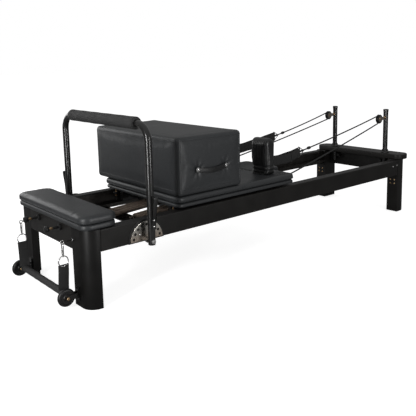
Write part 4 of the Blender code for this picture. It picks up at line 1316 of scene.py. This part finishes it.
# %% [markdown]
# ## Under the carriage
# Guide rollers with upright axles keep the carriage between the tracks. They turn on brass bolts
# that show at the deck's foot end, and the wheels' stub axles end in brass nuts.
# %% Guide rollers and nuts
GUIDE_X, GUIDE_Y, GUIDE_Z = (0.512, 1.268), 0.2600, 0.333


def guides(word, side):
    rollers, bolts = [], []
    for x in GUIDE_X:
        center = (at(x), side * GUIDE_Y, GUIDE_Z)
        rows = [(0.004, 0.007), (0.011, 0.007), (0.0125, 0.0055), (0.0125, -0.0055), (0.011, -0.007),
                (0.004, -0.007), (0.004, 0.007)]
        rollers.append(turned(rows, center, (0, 0, 1), 32))
        bolts.append(turned([(0, 0.0235), (0.0042, 0.0235), (0.0042, -0.011), (0.0070, -0.011),
                             (0.0070, -0.0155), (0, -0.0155)], center, (0, 0, 1), 20))
    for x in ROLLERS.values():
        bolts.append(turned([(0, 0.004), (0.0062, 0.004), (0.0078, 0.002), (0.0078, 0), (0, 0)],
                            (at(x), side * 0.2600, ROLLER_Z), (0, side, 0), 6))
    make(f"guide_rollers_{word}", rollers, HARD_PLASTIC, "carriage", capped=False)
    make(f"guide_bolts_{word}", bolts, BRASS, "carriage", capped=False, angle=25)


both(guides)
print(2 * len(GUIDE_X), "guide rollers")

# %% [markdown]
# ## Ropes and loops
# A rope leaves the carriage's corner, runs up to the sheave's underside, goes round it and comes
# back down to a webbing loop that hangs on the shoulder rest. Between its two ends it sags by a
# few millimetres, as a parabola.
# %% Ropes
ROPE_RADIUS, ROPE_SAG = 0.0042, 0.006
LOOPS = {"near": (1.470, 0.492), "far": (1.700, 0.522)}
ROPE_ANCHOR = (1.304, 0.280, 0.392)
BLEND_START, BLEND_END = 2.250, 1.300


def rolls_with_carriage(obj):
    at(BLEND_START)
    at(BLEND_END)
    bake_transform(obj)
    return obj


def soft_piece(name, parts, finish, stands_for=()):
    obj = grid_object(name, parts, angle=50)
    obj.data.materials.append(finish.material)
    if stands_for:
        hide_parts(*stands_for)
    return rolls_with_carriage(obj)


def rope_route(side, clip_x, clip_z):
    """Two parabolas, start + (end - start)·s - 4·sag·s·(1 - s), joined by an arc round the groove."""
    wrap = arc((SHEAVE_X, SHEAVE_Z), GROOVE_RADIUS + ROPE_RADIUS + 0.0003, -78, 100, 24)
    wrap = np.stack([wrap[:, 0], np.full(24, RISER_Y), wrap[:, 1]], axis=-1)

    def sagging(start, end, count):
        s = np.linspace(0, 1, count)[:, None]
        return start + (end - start) * s - (0, 0, ROPE_SAG) * (4 * s * (1 - s))

    lower = sagging(np.array(ROPE_ANCHOR), wrap[0], 30)[:-1]
    upper = sagging(wrap[-1], np.array((clip_x, RISER_Y, clip_z)), 26)[1:]
    route = np.concatenate([lower, wrap, upper])
    return np.stack([at(route[:, 0]), side * route[:, 1], route[:, 2]], axis=-1)


def rope(word, side):
    loop_x, loop_z = LOOPS[word]
    route = rope_route(side, loop_x + 0.013, loop_z + 0.003)
    obj = soft_piece(f"pull_rope_{word}", [swept(circle(ROPE_RADIUS, 14), route, (0, 1, 0))], BRAID,
                     [f"rope_{word}"])
    long = float(np.linalg.norm(np.diff(route, axis=0), axis=1).sum())
    end, away = route[-1], unit(route[-4] - route[-1])
    ferrule = [(0, -0.002), (0.0052, -0.002), (0.0060, 0.0), (0.0060, 0.026), (0.0050, 0.030), (0, 0.030)]
    knot = [(0, 0.062), (0.0055, 0.063), (0.0088, 0.068), (0.0094, 0.077), (0.0084, 0.085),
            (0.0055, 0.091), (0, 0.092)]
    soft_piece(f"rope_ends_{word}", [turned(ferrule, end, away, 20), turned(knot, end, away, 20)],
               HARD_PLASTIC)
    start, way = route[0], unit(route[3] - route[0])
    cleat = [(0, -0.004), (0.0074, -0.004), (0.0078, 0.0), (0.0066, 0.014), (0.0052, 0.018), (0, 0.018)]
    make(f"rope_cleat_{word}", turned(cleat, start, way, 20), HARD_PLASTIC, "carriage")
    return long


rope_lengths = {word: round(rope(word, side), 3) for word, side in SIDES.items()}
print("rope lengths in metres:", rope_lengths)

# %% [markdown]
# ## Hand loops
# A loop is one flat band, closed round the shoulder rest's bail and the rope's ring. It stands
# on edge, so its path is drawn as seen from above and its width is upright.
# %% Webbing loops
LOOP_HALF_HEIGHT, LOOP_THICKNESS, LOOP_SAG = 0.026, 0.0028, 0.010


def rope_loop(word, side):
    """Seen from above: two bowed sides, 8.5 mm + 7 mm·sin(pi·s) from the middle, joined by round ends.
    The webbing stands on edge. Its middle line rises from bail to ring and sags by 10 mm·sin(pi·s)."""
    low, high = REST[word]
    y, (end_x, end_z) = (low[1] + high[1]) / 2, LOOPS[word]
    s = np.linspace(0, 1, 40)
    x, reach = BAIL_X + (end_x - BAIL_X) * s, 0.0085 - LOOP_THICKNESS / 2 + 0.007 * np.sin(math.pi * s)
    first = arc((BAIL_X, 0), reach[0], 90, 270, 14)[1:-1]
    last = arc((end_x, 0), reach[-1], -90, 90, 14)[1:-1]
    sides = np.stack([x, reach], axis=-1)
    edge = np.concatenate([first, sides * (1, -1), last, sides[::-1], first[:1]])
    part = (edge[:, 0] - BAIL_X) / (end_x - BAIL_X)
    bow = np.sin(math.pi * np.clip(part, 0, 1))
    height = BAIL_Z + (end_z - BAIL_Z) * part - LOOP_SAG * bow
    height += 0.0012 * np.sin(edge[:, 0] * 47.0) * np.sign(edge[:, 1]) * bow
    path = np.stack([at(edge[:, 0]), y + edge[:, 1], height], axis=-1)
    band = swept(band_profile(LOOP_HALF_HEIGHT, LOOP_THICKNESS), path, (0, 0, 1))
    soft_piece(f"hand_loop_{word}", [band], WEBBING, [f"rope_loop_{word}"])
    reinforcing = path[12 + 26:12 + 40] + (0, -0.0026, 0)
    other = (path[12 + 26:12 + 40] - (0, y, 0)) * (1, -1, 1) + (0, y + 0.0026, 0)
    patches = [swept(band_profile(LOOP_HALF_HEIGHT - 0.003, 0.0022), run,
                     (0, 0, 1)) for run in (reinforcing, other)]
    soft_piece(f"loop_patches_{word}", patches, WEBBING)
    slope = (end_z - BAIL_Z) / (end_x - BAIL_X)
    half, tip = LOOP_HALF_HEIGHT + 0.0045, 0.040
    turns = [arc((0.0, half - 0.003), 0.003, 180, 60, 6),
             arc((tip - 0.005, tip * slope), 0.005, 60, -60, 8),
             arc((0.0, 0.003 - half), 0.003, -60, -180, 6)]
    ring = np.concatenate([*turns, turns[0][:1]])
    ring = np.stack([at(end_x + ring[:, 0]), np.full(len(ring), y), end_z + ring[:, 1]], axis=-1)
    soft_piece(f"loop_ring_{word}", [swept(circle(0.0022, 12), ring, (0, 1, 0))], STEEL)


both(rope_loop)
print("two loops of webbing, each", 2 * LOOP_HALF_HEIGHT, "m wide")

# %% [markdown]
# ## Floor, light and camera
# The machine stands on a plain pale floor, which glows a little for the camera alone, so it
# stays white without lighting the black frame from below. Most of the light comes from the sky,
# dim at the horizon and brighter above. Two narrow upright panels draw long bright lines on the
# round tubes, and a wide weak one lights the far side.
# %% Floor and light
floor_rows = np.linspace(-40, 40, 9)
ground = np.stack(np.meshgrid(floor_rows, floor_rows, indexing="ij") + [np.full((9, 9), -0.0005)], axis=-1)
floor_piece = grid_object("floor", [ground], capped=False)
PALE = Finish("pale_floor")
haze = PALE.noise(PALE.place(), 0.6, 2.0)
seen = PALE.node("ShaderNodeLightPath", output=0)
PALE.set(Base_Color=PALE.blend(seen, grey(0.30), PALE.blend(haze, grey(0.66), grey(0.70))),
         Roughness=0.85 + (haze - 0.5) * 0.1)
PALE.set(Specular_IOR_Level=0.0, Emission_Color=PALE.blend(seen, grey(0.0), grey(0.78)),
         Emission_Strength=1.0)
floor_piece.data.materials.append(PALE.material)


class Dome(Finish):
    """The world's background shader, with a material's ways to add nodes."""

    def __init__(self, world):
        self.tree = world.node_tree
        self.shader = self.tree.nodes["Background"]
        self.shader.inputs["Color"].default_value = (1, 1, 1, 1)


def soft_panel(name, place, target, size, power):
    """A square area light at place, turned to face target."""
    data = bpy.data.lights.new(name, "AREA")
    data.shape = "RECTANGLE"
    data.size, data.size_y = size
    data.energy = power
    lamp = bpy.data.objects.new(name, data)
    lamp.location = place
    lamp.rotation_euler = (Vector(target) - Vector(place)).to_track_quat("-Z", "Y").to_euler()
    bpy.context.scene.collection.objects.link(lamp)


soft_panel("strip_panel", (-3.0, -1.0, 0.85), (-0.87, -0.385, 0.75), (0.24, 1.6), 36)
soft_panel("near_strip", (-0.1, -3.2, 0.85), (-0.87, -0.385, 0.75), (0.24, 1.6), 30)
soft_panel("far_panel", (-1.2, 2.9, 1.2), (0, 0, 0.35), (2.2, 1.4), 24)
world = bpy.data.worlds.new("studio")
world.use_nodes = True
sky = Dome(world)
_, _, rise = sky.axes(sky.node("ShaderNodeTexCoord", output=0))
glow = 0.24 + rise.step(0.15, 0.95) * 0.26
sky.set(Strength=glow + sky.node("ShaderNodeLightPath", output=0) * (1 - glow))
bpy.context.scene.world = world
bpy.context.scene.view_settings.view_transform = "Standard"

# %% [markdown]
# ## Camera
# The camera stands off the foot end's near corner, above the padding, and looks down the length
# of the machine. Part of its look downwards is done by shifting the lens instead of tilting the
# camera, which keeps upright posts upright in the picture.
# %% Camera
CAMERA_PLACE = (-2.2638, -2.4465, 1.0548)
CAMERA_YAW, CAMERA_PITCH, CAMERA_ROLL, CAMERA_LENS = 50.4606, 9.0864, -1.3505, 50.53
CAMERA_SHIFT = (0.0110, -0.1394)
yaw, pitch, roll = (math.radians(v) for v in (CAMERA_YAW, CAMERA_PITCH, CAMERA_ROLL))
forward = np.array((math.cos(yaw) * math.cos(pitch), math.sin(yaw) * math.cos(pitch), -math.sin(pitch)))
level = np.array((math.sin(yaw), -math.cos(yaw), 0.0))
upward = np.cross(level, forward)
right = math.cos(roll) * level + math.sin(roll) * upward
upward = math.cos(roll) * upward - math.sin(roll) * level
eye = bpy.data.cameras.new("camera")
eye.lens, eye.sensor_width = CAMERA_LENS, 36.0
eye.shift_x, eye.shift_y = CAMERA_SHIFT
eye.clip_start, eye.clip_end = 0.05, 200.0
camera = bpy.data.objects.new("camera", eye)
matrix = np.eye(4)
matrix[:3, 0], matrix[:3, 1], matrix[:3, 2], matrix[:3, 3] = right, upward, -forward, CAMERA_PLACE
camera.matrix_world = Matrix(matrix.tolist())
bpy.context.scene.collection.objects.link(camera)
bpy.context.scene.camera = camera
print("the camera stands at", CAMERA_PLACE)

# %% [markdown]
# ## Size
# New looks must not change the machine's size. Here the scene is only brought up to date.
# %% Bring the scene up to date
bpy.context.view_layer.update()
